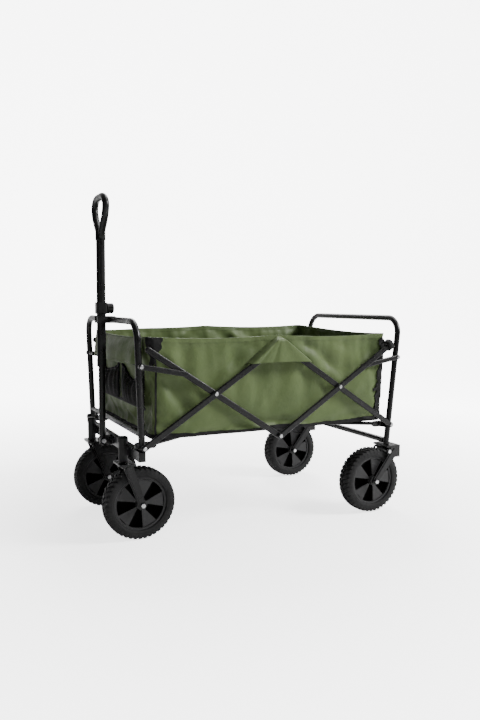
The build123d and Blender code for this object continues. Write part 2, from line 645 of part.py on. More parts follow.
def upright(radius, z0, z1):
    return rod((HANDLE_X, 0, z0), (HANDLE_X, 0, z1), radius)


def lower_tube():
    z0 = PIVOT_Z - LOWER_DROP
    body = upright(LOWER_R, z0, LOWER_TOP_Z) - upright(LOWER_R - LOWER_WALL, z0 + 20, LOWER_TOP_Z + 1)
    return one(body - hole((HANDLE_X, PIVOT_Z), PIVOT_R + RUN))


def screw_hole(radius):
    return rod((HANDLE_X, 0, KNOB_Z), (HANDLE_X + 40, 0, KNOB_Z), radius)


def sleeve():
    top = GRIP_LOW_Z + GRIP_SOCKET
    body = upright(SLEEVE_R, RING_LOW_Z + RING_H, top) - upright(LOWER_R + RUN, RING_LOW_Z, top + 1)
    return one(body - screw_hole(SCREW_R + RUN))


def sleeve_ring():
    """Plastic guide ring under the sleeve."""
    body = upright(RING_R, RING_LOW_Z, RING_LOW_Z + RING_H)
    rim = body.edges().filter_by(GeomType.CIRCLE).sort_by(Axis.Z)[0]
    return one(chamfer(rim, 1.2) - upright(LOWER_R + RUN, RING_LOW_Z - 1, RING_LOW_Z + RING_H + 1))


def collar():
    """Square clamp collar, chamfered below, that holds the clamp screw."""
    half = COLLAR_W / 2
    body = block((HANDLE_X - half, HANDLE_X + half), (-half, half), (COLLAR_LOW_Z, COLLAR_LOW_Z + COLLAR_H))
    body = fillet(body.edges().filter_by(Axis.Z), 6.0)
    body = chamfer(body.faces().sort_by(Axis.Z)[0].edges(), 2.5)
    body = body - upright(SLEEVE_R + RUN, COLLAR_LOW_Z - 1, COLLAR_LOW_Z + COLLAR_H + 1)
    return one(body - screw_hole(SCREW_R + RUN))


def clamp_knob():
    """Fluted knob whose screw ends just short of the lower tube."""
    face = HANDLE_X + COLLAR_W / 2 + TOUCH
    knob = rod((face, 0, KNOB_Z), (face + KNOB_H, 0, KNOB_Z), KNOB_R)
    rim = knob.edges().filter_by(GeomType.CIRCLE).sort_by(Axis.X)[-1]
    knob = chamfer(rim, 2.0)
    for i in range(KNOB_FLUTES):
        turn = 2 * math.pi * i / KNOB_FLUTES
        out = KNOB_R + FLUTE_R - FLUTE_DEEP
        y, z = out * math.cos(turn), KNOB_Z + out * math.sin(turn)
        knob = knob - rod((face + FLUTE_START, y, z), (face + KNOB_H + 1, y, z), FLUTE_R)
    return one(knob + rod((HANDLE_X + LOWER_R + TOUCH, 0, KNOB_Z), (face + 1, 0, KNOB_Z), SCREW_R))


def grip():
    """Closed teardrop hand loop on a round neck with a socket for the sleeve."""
    wide, top = GRIP_W / 2 - GRIP_LIMB_R, GRIP_TOP_Z - GRIP_LIMB_R
    tall = top - GRIP_LOW_Z
    side = [(0.12, 0.06), (0.36, 0.25), (0.72, 0.45), (0.95, 0.63), (1.0, 0.81), (0.68, 0.965)]
    right = [(wide * y, GRIP_LOW_Z + tall * z) for y, z in side]
    left = [(-y, z) for y, z in reversed(right)]
    points = [(HANDLE_X, y, z) for y, z in right + [(0.0, top)] + left]
    path = Spline(*points)
    loop = sweep(Plane(origin=path @ 0, z_dir=path % 0) * Circle(GRIP_LIMB_R), path=path)
    neck = upright(GRIP_NECK_R, GRIP_LOW_Z, GRIP_LOW_Z + GRIP_NECK_H)
    rims = neck.edges().filter_by(GeomType.CIRCLE)
    neck = chamfer(rims.sort_by(Axis.Z)[0], 1.0)
    return one(loop + neck - upright(SLEEVE_R + RUN, GRIP_LOW_Z - 5, GRIP_LOW_Z + GRIP_SOCKET))


def handle_clip():
    """Cradle round the top of the front loop, open forwards for the handle."""
    x_loop, z = leg_x(-1, LOOP_TOP_Z), LOOP_TOP_Z
    jaw = RING_R + CLIP_SLACK
    front = HANDLE_X - SLEEVE_R - 2
    y = (-jaw - CLIP_T, jaw + CLIP_T)
    body = block((front, x_loop + LOOP_R + CLIP_T), y, (z - CLIP_H / 2, z + CLIP_H / 2))
    body = body - block((front - 1, HANDLE_X + jaw), (-jaw, jaw), (0, GRIP_TOP_Z))
    return one(body - rod_y((x_loop, z), -60, 60, LOOP_R + RUN))


write("handle_yoke", yoke())
write("handle_pivot_bolt", pivot_bolt())
write("handle_lower_tube", lower_tube())
write("handle_sleeve", sleeve())
write("handle_sleeve_ring", sleeve_ring())
write("handle_collar", collar())
write("handle_clamp_knob", clamp_knob())
write("handle_grip", grip())
write("handle_clip", handle_clip())


# ---- fabric tub ----------------------------------------------------------
def tub_section(x, half_y, z, inset=0.0):
    width, depth = x[1] - x[0] - 2 * inset, 2 * (half_y - inset)
    radius = TUB_CORNER_R - inset
    return Pos((x[0] + x[1]) / 2, 0, z) * RectangleRounded(width, depth, radius)


def tub():
    """Open fabric tub, closed below, a little wider at its rim."""
    outer = loft([tub_section(TUB_LOW_X, TUB_LOW_Y, TUB_LOW_Z), tub_section(TUB_TOP_X, TUB_TOP_Y, TUB_TOP_Z)])
    low = TUB_LOW_Z + TUB_WALL
    inner = loft([
        tub_section(TUB_LOW_X, TUB_LOW_Y, low, TUB_WALL),
        tub_section(TUB_TOP_X, TUB_TOP_Y, TUB_TOP_Z + 1, TUB_WALL),
    ])
    return one(outer - inner)


def floor_mat():
    z = TUB_LOW_Z + TUB_WALL + TOUCH
    inset = TUB_WALL + MAT_MARGIN
    length, width = TUB_LOW_X[1] - TUB_LOW_X[0] - 2 * inset, 2 * (TUB_LOW_Y - inset)
    outline = Pos(sum(TUB_LOW_X) / 2, 0, z) * RectangleRounded(length, width, TUB_CORNER_R)
    return one(extrude(outline, MAT_T))


def front_strap(y):
    """Webbing tab from the lower cross tube to the tub's front edge."""
    z = FRONT_CROSS_Z - 1.0
    share = (z - TUB_LOW_Z) / (TUB_TOP_Z - TUB_LOW_Z)
    wall = TUB_LOW_X[0] + (TUB_TOP_X[0] - TUB_LOW_X[0]) * share
    x = (FRONT_CROSS_X + FRONT_CROSS_R + TOUCH, wall - TOUCH)
    return block(x, (y - STRAP_W / 2, y + STRAP_W / 2), (z - STRAP_T / 2, z + STRAP_T / 2))


write("fabric_tub", tub())
write("floor_mat", floor_mat())
write("front_straps", *[front_strap(y) for y in STRAP_PLACES])
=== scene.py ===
# %% [markdown]
# # A folding camp wagon
# The frame, wheels, forks and handle of this wagon come from a CAD model, in metres, and stay as
# they are. This lesson dresses them: each CAD node gets a finish, the tyres get their tread, and the
# plain CAD tub is replaced by sewn fabric panels with hems, bindings and pockets. Every place below
# is worked out from the CAD boxes, so the cloth always fits the frame.

# %% Load the frame
import json
import math
import random

import bpy
from mathutils import Matrix, Vector


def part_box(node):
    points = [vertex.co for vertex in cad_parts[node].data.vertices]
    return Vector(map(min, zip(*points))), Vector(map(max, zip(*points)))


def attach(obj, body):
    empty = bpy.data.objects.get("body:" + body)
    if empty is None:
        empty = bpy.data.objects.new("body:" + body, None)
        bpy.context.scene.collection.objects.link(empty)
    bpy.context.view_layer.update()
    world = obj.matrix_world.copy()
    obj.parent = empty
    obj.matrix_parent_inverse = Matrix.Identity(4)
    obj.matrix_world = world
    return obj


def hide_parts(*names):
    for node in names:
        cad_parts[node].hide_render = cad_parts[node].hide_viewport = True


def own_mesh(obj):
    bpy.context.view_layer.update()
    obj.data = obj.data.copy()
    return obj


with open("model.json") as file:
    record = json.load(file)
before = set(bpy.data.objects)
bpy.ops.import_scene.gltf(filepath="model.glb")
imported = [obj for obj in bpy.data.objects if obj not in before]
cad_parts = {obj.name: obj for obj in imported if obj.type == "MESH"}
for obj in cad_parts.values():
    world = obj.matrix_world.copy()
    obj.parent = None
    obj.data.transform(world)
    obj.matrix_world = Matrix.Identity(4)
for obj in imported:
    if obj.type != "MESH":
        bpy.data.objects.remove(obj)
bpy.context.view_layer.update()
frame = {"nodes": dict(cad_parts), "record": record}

random.seed(7)
nodes = frame["nodes"]

# %% [markdown]
# ## A few small tools
# Blender's operators act on whatever is selected, and the loaded nodes are all selected, so each step
# starts by picking one object. Shapes are then edited as by hand: add a primitive, enter edit mode,
# select by place, and extrude, bevel, spin or bisect.

# %% Selection and modifiers
def pick(obj):
    """Make obj the only selected object."""
    if bpy.context.object and bpy.context.object.mode != "OBJECT":
        bpy.ops.object.mode_set(mode="OBJECT")
    bpy.ops.object.select_all(action="DESELECT")
    obj.select_set(True)
    bpy.context.view_layer.objects.active = obj
    return obj


def clear():
    """Nothing selected, ready for a new primitive."""
    pick(next(iter(nodes.values()))).select_set(False)


def named(name):
    """Name the primitive that was just added and settle its place into its mesh."""
    obj = bpy.context.active_object
    bpy.ops.object.transform_apply(location=True, rotation=True, scale=True)
    obj.name = obj.data.name = name
    return obj


def box_between(name, low, high):
    """A cube primitive stretched between two corners."""
    clear()
    bpy.ops.mesh.primitive_cube_add(size=1, location=[(a + b) / 2 for a, b in zip(low, high)])
    bpy.context.active_object.scale = [b - a for a, b in zip(low, high)]
    return named(name)


def modify(obj, kind, **values):
    """Add a modifier, set it and apply it."""
    pick(obj)
    change = obj.modifiers.new(kind.title(), kind)
    for key, value in values.items():
        setattr(change, key, value)
    bpy.ops.object.modifier_apply(modifier=change.name)
    return obj


def edit(obj, what="VERT"):
    """Enter edit mode with nothing selected."""
    pick(obj)
    bpy.ops.object.mode_set(mode="EDIT")
    bpy.ops.mesh.select_mode(type=what)
    bpy.ops.mesh.select_all(action="DESELECT")


def done(obj, smooth=40):
    """Leave edit mode, point the normals outwards and smooth the gentle edges."""
    bpy.ops.object.mode_set(mode="EDIT")
    bpy.ops.mesh.select_all(action="SELECT")
    bpy.ops.mesh.normals_make_consistent(inside=False)
    bpy.ops.object.mode_set(mode="OBJECT")
    pick(obj)
    bpy.ops.object.shade_smooth_by_angle(angle=math.radians(smooth))
    return obj


def slice_at(obj, axis, places):
    """Cut the whole mesh across one axis at each place, as with a ruler and a knife."""
    edit(obj)
    normal = [float(i == axis) for i in range(3)]
    for place in places:
        bpy.ops.mesh.select_all(action="SELECT")
        bpy.ops.mesh.bisect(plane_co=[n * place for n in normal], plane_no=normal)
    bpy.ops.object.mode_set(mode="OBJECT")
    return obj


def steps(start, end, size):
    """Even places strictly between start and end, about size apart."""
    count = max(1, round((end - start) / size))
    return [start + (end - start) * i / count for i in range(1, count)]


def smooth_step(t):
    t = min(1.0, max(0.0, t))
    return t * t * (3 - 2 * t)


# %% [markdown]
# ## Finishes
# Real surfaces are never one flat colour. Powder coat has a faint orange peel and is a little
# brighter where it rubs. Moulded plastic has a fine grain. Woven polyester shows its threads, small
# crinkles and slow changes of tone. Each finish is a small node tree on one Principled shader: a
# slow noise for colour, a fine texture for roughness, and bump for what the fingers would feel.

# %% A node tree to start from
def finish(name, colour, roughness, metallic=0.0, **sockets):
    """New material whose Principled shader has its plain values set on its own sockets."""
    mat = bpy.data.materials.new(name)
    mat.use_nodes = True
    tree = mat.node_tree
    shader = tree.nodes["Principled BSDF"]
    shader.inputs["Base Color"].default_value = (*colour, 1)
    shader.inputs["Roughness"].default_value = roughness
    shader.inputs["Metallic"].default_value = metallic
    for key, value in sockets.items():
        shader.inputs[key.replace("_", " ")].default_value = value
    place = tree.nodes.new("ShaderNodeTexCoord")
    return mat, tree, shader, place.outputs["Object"]


def noise(tree, place, scale, detail=3.0):
    node = tree.nodes.new("ShaderNodeTexNoise")
    node.inputs["Scale"].default_value = scale
    node.inputs["Detail"].default_value = detail
    tree.links.new(place, node.inputs["Vector"])
    return node.outputs["Fac"]


def spread(tree, value, low, high, into, frm=(0.3, 0.7)):
    """Map a texture value onto a range and plug it in."""
    node = tree.nodes.new("ShaderNodeMapRange")
    node.inputs["From Min"].default_value, node.inputs["From Max"].default_value = frm
    node.inputs["To Min"].default_value, node.inputs["To Max"].default_value = low, high
    tree.links.new(value, node.inputs["Value"])
    tree.links.new(node.outputs["Result"], into)
    return node.outputs["Result"]


def tint(tree, value, dark, light, into, frm=(0.3, 0.7)):
    """Mix two colours by a texture value."""
    ramp = tree.nodes.new("ShaderNodeValToRGB")
    ramp.color_ramp.elements[0].position, ramp.color_ramp.elements[1].position = frm
    ramp.color_ramp.elements[0].color = (*dark, 1)
    ramp.color_ramp.elements[1].color = (*light, 1)
    tree.links.new(value, ramp.inputs["Fac"])
    tree.links.new(ramp.outputs["Color"], into)
    return ramp.outputs["Color"]


def bumps(tree, shader, layers):
    """Chain bump layers of (height value, strength, distance in metres)."""
    last = None
    for height, strength, distance in layers:
        node = tree.nodes.new("ShaderNodeBump")
        node.inputs["Strength"].default_value = strength
        node.inputs["Distance"].default_value = distance
        tree.links.new(height, node.inputs["Height"])
        if last:
            tree.links.new(last, node.inputs["Normal"])
        last = node.outputs["Normal"]
    tree.links.new(last, shader.inputs["Normal"])


# %% Powder-coated steel, zinc and plastics
def powder_coat():
    mat, tree, shader, place = finish("black_powder_coat", (0.004, 0.004, 0.0045), 0.3,
                                      Specular_IOR_Level=0.26)
    tint(tree, noise(tree, place, 9), (0.003, 0.003, 0.0032), (0.006, 0.006, 0.0063),
         shader.inputs["Base Color"])
    spread(tree, noise(tree, place, 55), 0.24, 0.36, shader.inputs["Roughness"])
    bumps(tree, shader, [(noise(tree, place, 900, 1), 0.12, 0.0003),
                         (noise(tree, place, 2600, 1), 0.06, 0.0001)])
    return mat


def zinc_plate():
    mat, tree, shader, place = finish("zinc_plate", (0.72, 0.72, 0.73), 0.28, 1.0)
    tint(tree, noise(tree, place, 120), (0.30, 0.30, 0.31), (0.62, 0.62, 0.62), shader.inputs["Base Color"])
    spread(tree, noise(tree, place, 400), 0.2, 0.42, shader.inputs["Roughness"])
    bumps(tree, shader, [(noise(tree, place, 1800, 2), 0.15, 0.0002)])
    return mat


def moulded(name, dark, light, roughness):
    """Moulded plastic or rubber: fine grain with slow patches of polish."""
    mat, tree, shader, place = finish(name, light, roughness, Specular_IOR_Level=0.2)
    tint(tree, noise(tree, place, 30), dark, light, shader.inputs["Base Color"])
    spread(tree, noise(tree, place, 80), roughness - 0.07, roughness + 0.08, shader.inputs["Roughness"])
    bumps(tree, shader, [(noise(tree, place, 1400, 2), 0.25, 0.0002),
                         (noise(tree, place, 60), 0.1, 0.0006)])
    return mat


black_steel = powder_coat()
zinc = zinc_plate()
black_plastic = moulded("black_plastic", (0.004, 0.004, 0.004), (0.009, 0.009, 0.0095), 0.42)
grip_rubber = moulded("grip_rubber", (0.004, 0.004, 0.004), (0.008, 0.008, 0.0085), 0.3)
wheel_plastic = moulded("wheel_plastic", (0.012, 0.012, 0.0125), (0.020, 0.020, 0.0205), 0.46)
tyre_rubber = moulded("tyre_rubber", (0.006, 0.006, 0.0062), (0.012, 0.012, 0.0122), 0.62)
hard = (black_steel, zinc, black_plastic, grip_rubber, wheel_plastic, tyre_rubber)
print("hard finishes:", [m.name for m in hard])

# %% [markdown]
# ## Cloth finishes
# A pattern in world space would slide when the tub folds, so each fabric piece carries its own
# attribute, "cut", with the place of every point on the flat cut piece, in metres. The weave is two
# crossed waves read from it. Coarse noise read from the same place adds the crinkles that a packed
# and unpacked tub keeps.

# %% Woven polyester, webbing and mesh
WEAVE = 1150.0      # threads per metre of cloth, drawn a little coarse


def cut_place(tree):
    node = tree.nodes.new("ShaderNodeAttribute")
    node.attribute_name = "cut"
    return node.outputs["Vector"]


def threads(tree, place, count, axis):
    wave = tree.nodes.new("ShaderNodeTexWave")
    wave.bands_direction = axis
    wave.inputs["Scale"].default_value = count / 6.2832
    wave.inputs["Distortion"].default_value = 0.4
    tree.links.new(place, wave.inputs["Vector"])
    return wave.outputs["Fac"]


def woven(name, dark, light, roughness, crinkle=0.5, sheen=0.03, count=WEAVE):
    mat, tree, shader, _ = finish(name, light, roughness, Sheen_Weight=sheen, Sheen_Roughness=0.5,
                                  Specular_IOR_Level=0.16)
    place = cut_place(tree)
    tint(tree, noise(tree, place, 7, 4), dark, light, shader.inputs["Base Color"])
    spread(tree, noise(tree, place, 45), roughness - 0.06, roughness + 0.08, shader.inputs["Roughness"])
    bumps(tree, shader, [
        (noise(tree, place, 16, 4), crinkle, 0.004),
        (noise(tree, place, 60, 3), crinkle * 0.35, 0.0012),
        (threads(tree, place, count, "X"), 0.18, 0.0002),
        (threads(tree, place, count, "Y"), 0.18, 0.0002),
    ])
    return mat


def pocket_mesh():
    """Open net: black threads with gaps between them."""
    mat, tree, shader, _ = finish("pocket_net", (0.003, 0.003, 0.003), 0.7, Specular_IOR_Level=0.1)
    place = cut_place(tree)
    both = tree.nodes.new("ShaderNodeMath")
    both.operation = "MAXIMUM"
    tree.links.new(threads(tree, place, 420, "X"), both.inputs[0])
    tree.links.new(threads(tree, place, 420, "Y"), both.inputs[1])
    spread(tree, both.outputs["Value"], 0.0, 1.0, shader.inputs["Alpha"], frm=(0.25, 0.45))
    return mat


olive = woven("olive_polyester", (0.056, 0.081, 0.029), (0.082, 0.112, 0.041), 0.5, 0.8)
olive_inside = woven("olive_polyester_inside", (0.046, 0.066, 0.027), (0.068, 0.094, 0.038), 0.6, 0.8)
black_tape = woven("black_binding_tape", (0.003, 0.003, 0.003), (0.006, 0.006, 0.006), 0.7, 0.3, 0.02, 700)
black_oxford = woven("black_oxford", (0.002, 0.002, 0.002), (0.005, 0.005, 0.005), 0.62, 0.5, 0.02, 800)
net = pocket_mesh()
print("cloth finishes:", [m.name for m in (olive, olive_inside, black_tape, black_oxford, net)])

# %% [markdown]
# ## Dress the CAD nodes
# The record names a material slot for every CAD node, so one loop gives each node its finish. The
# nodes' shapes are right and stay.

# %% Finish by slot
BY_SLOT = {
    "black_steel": black_steel, "zinc_steel": zinc, "black_plastic": black_plastic,
    "grip_rubber": grip_rubber, "wheel_plastic": wheel_plastic, "tyre_rubber": tyre_rubber,
    "olive_fabric": olive, "mat_fabric": olive_inside, "black_webbing": black_tape,
}
for entry in frame["record"]["subparts"]:
    node = nodes[entry["node"]]
    node.data.materials.clear()
    node.data.materials.append(BY_SLOT[entry["material_slot"]])
print("dressed", len(nodes), "nodes")

# %% Paint shade into the deep pockets of the wheels
# distances from a wheel's middle plane: the painted pocket shade is darkest inside the first and gone
# beyond the second
POCKET_SHADE_DEEP, POCKET_SHADE_FACE = 0.009, 0.0145   # distance from the wheel's middle plane


def wheel_with_painted_pocket_shade(name):
    """Moulded wheel plastic with painted shade in the pockets between the spokes: darker, rougher and
    duller towards their floors.
    """
    node = nodes[name]
    low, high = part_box(name)
    middle = node.matrix_world.inverted() @ ((low + high) / 2)
    mat = wheel_plastic.copy()
    mat.name = name + "_plastic"
    tree = mat.node_tree
    shader = tree.nodes["Principled BSDF"]
    place = next(n for n in tree.nodes if n.type == "TEX_COORD").outputs["Object"]
    split = tree.nodes.new("ShaderNodeSeparateXYZ")
    tree.links.new(place, split.inputs["Vector"])
    off = tree.nodes.new("ShaderNodeMath")
    off.operation = "SUBTRACT"
    off.inputs[1].default_value = middle.y
    tree.links.new(split.outputs["Y"], off.inputs[0])
    depth = tree.nodes.new("ShaderNodeMath")
    depth.operation = "ABSOLUTE"
    tree.links.new(off.outputs["Value"], depth.inputs[0])
    pocket_shade_mask = tree.nodes.new("ShaderNodeMapRange")
    pocket_shade_mask.inputs["From Min"].default_value, pocket_shade_mask.inputs["From Max"].default_value = POCKET_SHADE_DEEP, POCKET_SHADE_FACE
    tree.links.new(depth.outputs["Value"], pocket_shade_mask.inputs["Value"])
    # painted shade: the pocket floors turn near black, rougher and less shiny, as if shade fell between the
    # spokes
    tint(tree, pocket_shade_mask.outputs["Result"], (0.0012, 0.0012, 0.0012), (0.020, 0.020, 0.0205),
         shader.inputs["Base Color"], frm=(0.0, 1.0))
    spread(tree, pocket_shade_mask.outputs["Result"], 0.95, 0.45, shader.inputs["Roughness"], frm=(0, 1))
    spread(tree, pocket_shade_mask.outputs["Result"], 0.02, 0.25, shader.inputs["Specular IOR Level"], frm=(0, 1))
    node.data.materials.clear()
    node.data.materials.append(mat)


for end in ("front", "rear"):
    for side in ("left", "right"):
        wheel_with_painted_pocket_shade(f"{end}_wheel_rim_{side}")
print("wheel pockets darkened")

# %% [markdown]
# ## Tyres
# Each tyre is a solid rubber ring with a round-shouldered section, and its tread is a ring of slanted
# ribs that run from near the middle out over the shoulder. The section is drawn as a strip of edges
# and spun once round the axle. One rib is shaped from a cube and spun with copies. The other three
# tyres are copies of the first, moved to their own axles.

# %% Spin the carcass
RIBS = 42
tyre_low, tyre_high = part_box("front_tyre_left")
tyre_mid = (tyre_low + tyre_high) / 2
TYRE_R = (tyre_high.x - tyre_low.x) / 2
TYRE_HALF = (tyre_high.y - tyre_low.y) / 2
SEAT_R = (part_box("front_wheel_rim_left")[1].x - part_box("front_wheel_rim_left")[0].x) / 2 + 0.0001
TREAD_R = TYRE_R - 0.0026
SECTION = [
    (0.80, SEAT_R), (0.92, SEAT_R + 0.0015), (1.0, SEAT_R + 0.006), (1.0, TREAD_R - 0.010),
    (0.93, TREAD_R - 0.004), (0.75, TREAD_R - 0.001), (0.35, TREAD_R), (0.0, TREAD_R),
]


def carcass(name):
    clear()
    bpy.ops.mesh.primitive_plane_add(size=0.01, location=tyre_mid)
    obj = named(name)
    edit(obj)
    bpy.ops.mesh.select_all(action="SELECT")
    bpy.ops.mesh.merge(type="CENTER")
    outline = SECTION + [(-y, r) for y, r in reversed(SECTION[:-1])]
    first = tyre_mid + Vector((0, outline[0][0] * TYRE_HALF, outline[0][1]))
    bpy.ops.transform.translate(value=first - tyre_mid)
    last = first
    for y, r in outline[1:] + outline[:1]:
        point = tyre_mid + Vector((0, y * TYRE_HALF, r))
        bpy.ops.mesh.extrude_region_move(TRANSFORM_OT_translate={"value": point - last})
        last = point
    bpy.ops.mesh.select_all(action="SELECT")
    bpy.ops.mesh.remove_doubles(threshold=1e-5)
    bpy.ops.mesh.select_all(action="SELECT")
    bpy.ops.mesh.spin(steps=96, angle=2 * math.pi, center=tyre_mid, axis=(0, 1, 0))
    bpy.ops.mesh.select_all(action="SELECT")
    bpy.ops.mesh.remove_doubles(threshold=1e-5)
    return done(obj, 35)


tyre = carcass("front_tyre_left_tread")
print("carcass:", len(tyre.data.polygons), "faces")

# %% Spin the ribs
RIB_STATIONS = [(0.06, 0.0, 0.0), (0.52, -0.0002, 4.0), (0.86, -0.0020, 6.5), (1.01, -0.0105, 7.6)]
RIB_HALF_TURN = 3.0    # half of a rib's width, in degrees round the tyre


def tread_rib(side):
    """One slanted rib: a cube cut at each station, then moved onto the tread's curve."""
    low = tyre_mid + Vector((-1, 0, 0))
    rib = box_between("rib", low, low + Vector((2, 3, 1)))
    slice_at(rib, 1, [tyre_mid.y + 1, tyre_mid.y + 2])
    for v in rib.data.vertices:
        station = round(v.co.y - tyre_mid.y)
        y, drop, turn = RIB_STATIONS[station]
        outer = v.co.z > tyre_mid.z + 0.5
        radius = TYRE_R + drop if outer else TYRE_R + drop - 0.006
        half = RIB_HALF_TURN * (0.86 if outer else 1.12) * (1 if v.co.x > tyre_mid.x else -1)
        angle = math.radians(turn + half)
        v.co = tyre_mid + Vector((radius * math.sin(angle), side * y * TYRE_HALF, radius * math.cos(angle)))
    edit(rib)
    bpy.ops.mesh.select_all(action="SELECT")
    if side < 0:
        bpy.ops.mesh.flip_normals()
    turned = 2 * math.pi * (RIBS - 1) / RIBS
    bpy.ops.mesh.spin(steps=RIBS - 1, angle=turned, center=tyre_mid, axis=(0, 1, 0), dupli=True)
    bpy.ops.object.mode_set(mode="OBJECT")
    if side < 0:
        half_step = Matrix.Rotation(math.pi / RIBS, 4, "Y")
        rib.data.transform(Matrix.Translation(tyre_mid) @ half_step @ Matrix.Translation(-tyre_mid))
    return rib


ribs = [tread_rib(side) for side in (1, -1)]
pick(tyre)
for rib in ribs:
    rib.select_set(True)
bpy.ops.object.join()
done(tyre, 35)
tyre.data.materials.clear()
tyre.data.materials.append(tyre_rubber)
print("tyre with ribs:", len(tyre.data.polygons), "faces")

# %% Copy to the four axles
for place in ("front", "rear"):
    for side in ("left", "right"):
        node = f"{place}_tyre_{side}"
        piece = tyre
        if node != "front_tyre_left":
            piece = tyre.copy()
            piece.data = tyre.data.copy()
            bpy.context.scene.collection.objects.link(piece)
            low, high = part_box(node)
            piece.data.transform(Matrix.Translation((low + high) / 2 - tyre_mid))
        piece.name = piece.data.name = node + "_tread"
        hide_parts(node)
        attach(piece, f"{place}_wheel_{side}")
print("four tyres ride on their wheels")

# %% [markdown]
# ## The tub's shell
# The tub is sewn from five panels that hang between the two tube loops. It is made as one shell first,
# so that all panels meet: a cube without its top, its upright corners rounded with a bevel, and cut
# into small squares with bisect. The foot is drawn in a little, the front flares out under its top
# band, and the rim sags between the points that hold it. A short cloth run with some spare cloth
# then gives the panels their creases. Last, the shell is cut apart into panels, hems and bindings.

# %% Cut the shell
tub_low, tub_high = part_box("fabric_tub")
CELL = 0.011
CORNER_R = 0.016           # roundness of the upright corners
FOOT_FRONT, FOOT_REAR, FOOT_SIDE = 0.018, 0.007, 0.008   # how far the foot is drawn in
RIM_SAG = 0.006
FAR_RIM_UP = 0.009         # the left rim is pulled taut over its arms and stands higher
FLARE_Z = 0.430            # the front panel is upright below this height and flares above it
FOLD_X = (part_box("arm_a_left")[1].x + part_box("arm_d_left")[0].x) / 2
print("fold middle at x", round(FOLD_X, 4), "tub", [round(v, 3) for v in (*tub_low, *tub_high)])


def tub_shell():
    shell = box_between("tub_shell", tub_low, tub_high)
    edit(shell, "FACE")
    bpy.ops.object.mode_set(mode="OBJECT")
    for face in shell.data.polygons:
        face.select = face.normal.z > 0.5
    bpy.ops.object.mode_set(mode="EDIT")
    bpy.ops.mesh.delete(type="FACE")
    bpy.ops.mesh.select_mode(type="EDGE")
    bpy.ops.mesh.select_all(action="DESELECT")
    bpy.ops.object.mode_set(mode="OBJECT")
    points = shell.data.vertices
    for edge in shell.data.edges:
        a, b = (points[i].co for i in edge.vertices)
        edge.select = abs(a.z - b.z) > 0.1
    bpy.ops.object.mode_set(mode="EDIT")
    bpy.ops.mesh.bevel(offset=CORNER_R, segments=4)
    bpy.ops.object.mode_set(mode="OBJECT")
    for axis in range(3):
        edge_in = CORNER_R if axis < 2 else 0.0
        slice_at(shell, axis, steps(tub_low[axis] + edge_in, tub_high[axis] - edge_in, CELL))
    return shell


shell = tub_shell()
cut_points = [v.co.copy() for v in shell.data.vertices]
print("shell:", len(cut_points), "points")

# %% Draw in the foot and let the rim sag
def sag(t):
    """Sag of cloth between two held points, t from 0 to 1 along the edge."""
    return 4 * t * (1 - t)


def hung(p):
    """Where a point of the straight shell hangs before the cloth run."""
    up = (p.z - tub_low.z) / (tub_high.z - tub_low.z)
    front = smooth_step((p.z - FLARE_Z) / (tub_high.z - FLARE_Z))
    along = (p.x - tub_low.x) / (tub_high.x - tub_low.x)
    middle = (FOLD_X - tub_low.x) / (tub_high.x - tub_low.x)
    half = along / middle if along < middle else (along - middle) / (1 - middle)
    across = (p.y - tub_low.y) / (tub_high.y - tub_low.y)
    on_end = min(along, 1 - along) < 0.01
    x = p.x + FOOT_FRONT * (1 - front) * (1 - along) - FOOT_REAR * (1 - up) * along
    y = p.y - math.copysign(FOOT_SIDE * (1 - up), p.y) * min(1.0, abs(p.y) / 0.2)
    z = p.z - RIM_SAG * up ** 3 * (sag(across) if on_end else sag(half))
    z += FAR_RIM_UP * up ** 2 * smooth_step(along / 0.25) * smooth_step(across)
    return Vector((x, y, z))


for v in shell.data.vertices:
    v.co = hung(v.co)
hung_points = [v.co.copy() for v in shell.data.vertices]

# %% Crease the panels with a short cloth run
CLOTH_FRAMES = 24
SPARE_CLOTH = -0.022      # negative shrink: the panels are cut a little too large
CAP = 0.0085              # no point may wander further than this


def pin_weights(obj):
    """Hold the rim, the foot and the floor, and grip the upright corners loosely."""
    group = obj.vertex_groups.new(name="held")
    for i, p in enumerate(cut_points):
        corner = min(abs(p.x - tub_low.x), abs(p.x - tub_high.x)) < 0.012 and abs(p.y) > tub_high.y - 0.012
        weight = 1.0 if p.z > tub_high.z - 0.002 or p.z < tub_low.z + 0.006 else (0.6 if corner else 0.0)
        group.add([i], weight, "REPLACE")
    return group.name


def crease(obj):
    pick(obj)
    cloth = obj.modifiers.new("Cloth", "CLOTH")
    cloth.settings.quality = 6
    cloth.settings.mass = 0.2
    cloth.settings.tension_stiffness = 30
    cloth.settings.compression_stiffness = 30
    cloth.settings.shear_stiffness = 12
    cloth.settings.bending_stiffness = 1.4
    cloth.settings.shrink_min = SPARE_CLOTH
    cloth.settings.vertex_group_mass = pin_weights(obj)
    cloth.collision_settings.use_collision = False
    cloth.collision_settings.use_self_collision = False
    cloth.point_cache.frame_start, cloth.point_cache.frame_end = 1, CLOTH_FRAMES
    for number in range(1, CLOTH_FRAMES + 1):
        bpy.context.scene.frame_set(number)
    bpy.ops.object.modifier_apply(modifier="Cloth")
    bpy.context.scene.frame_set(1)
    furthest = 0.0
    for v, start in zip(obj.data.vertices, hung_points):
        move = v.co - start
        furthest = max(furthest, move.length)
        if move.length > CAP:
            move = move.normalized() * (CAP - (CAP * CAP) / (4 * move.length) * 0.5)
        v.co = start + move
    obj.vertex_groups.clear()
    print("cloth run: furthest point moved", round(furthest * 1000, 1), "mm before the cap")


crease(shell)
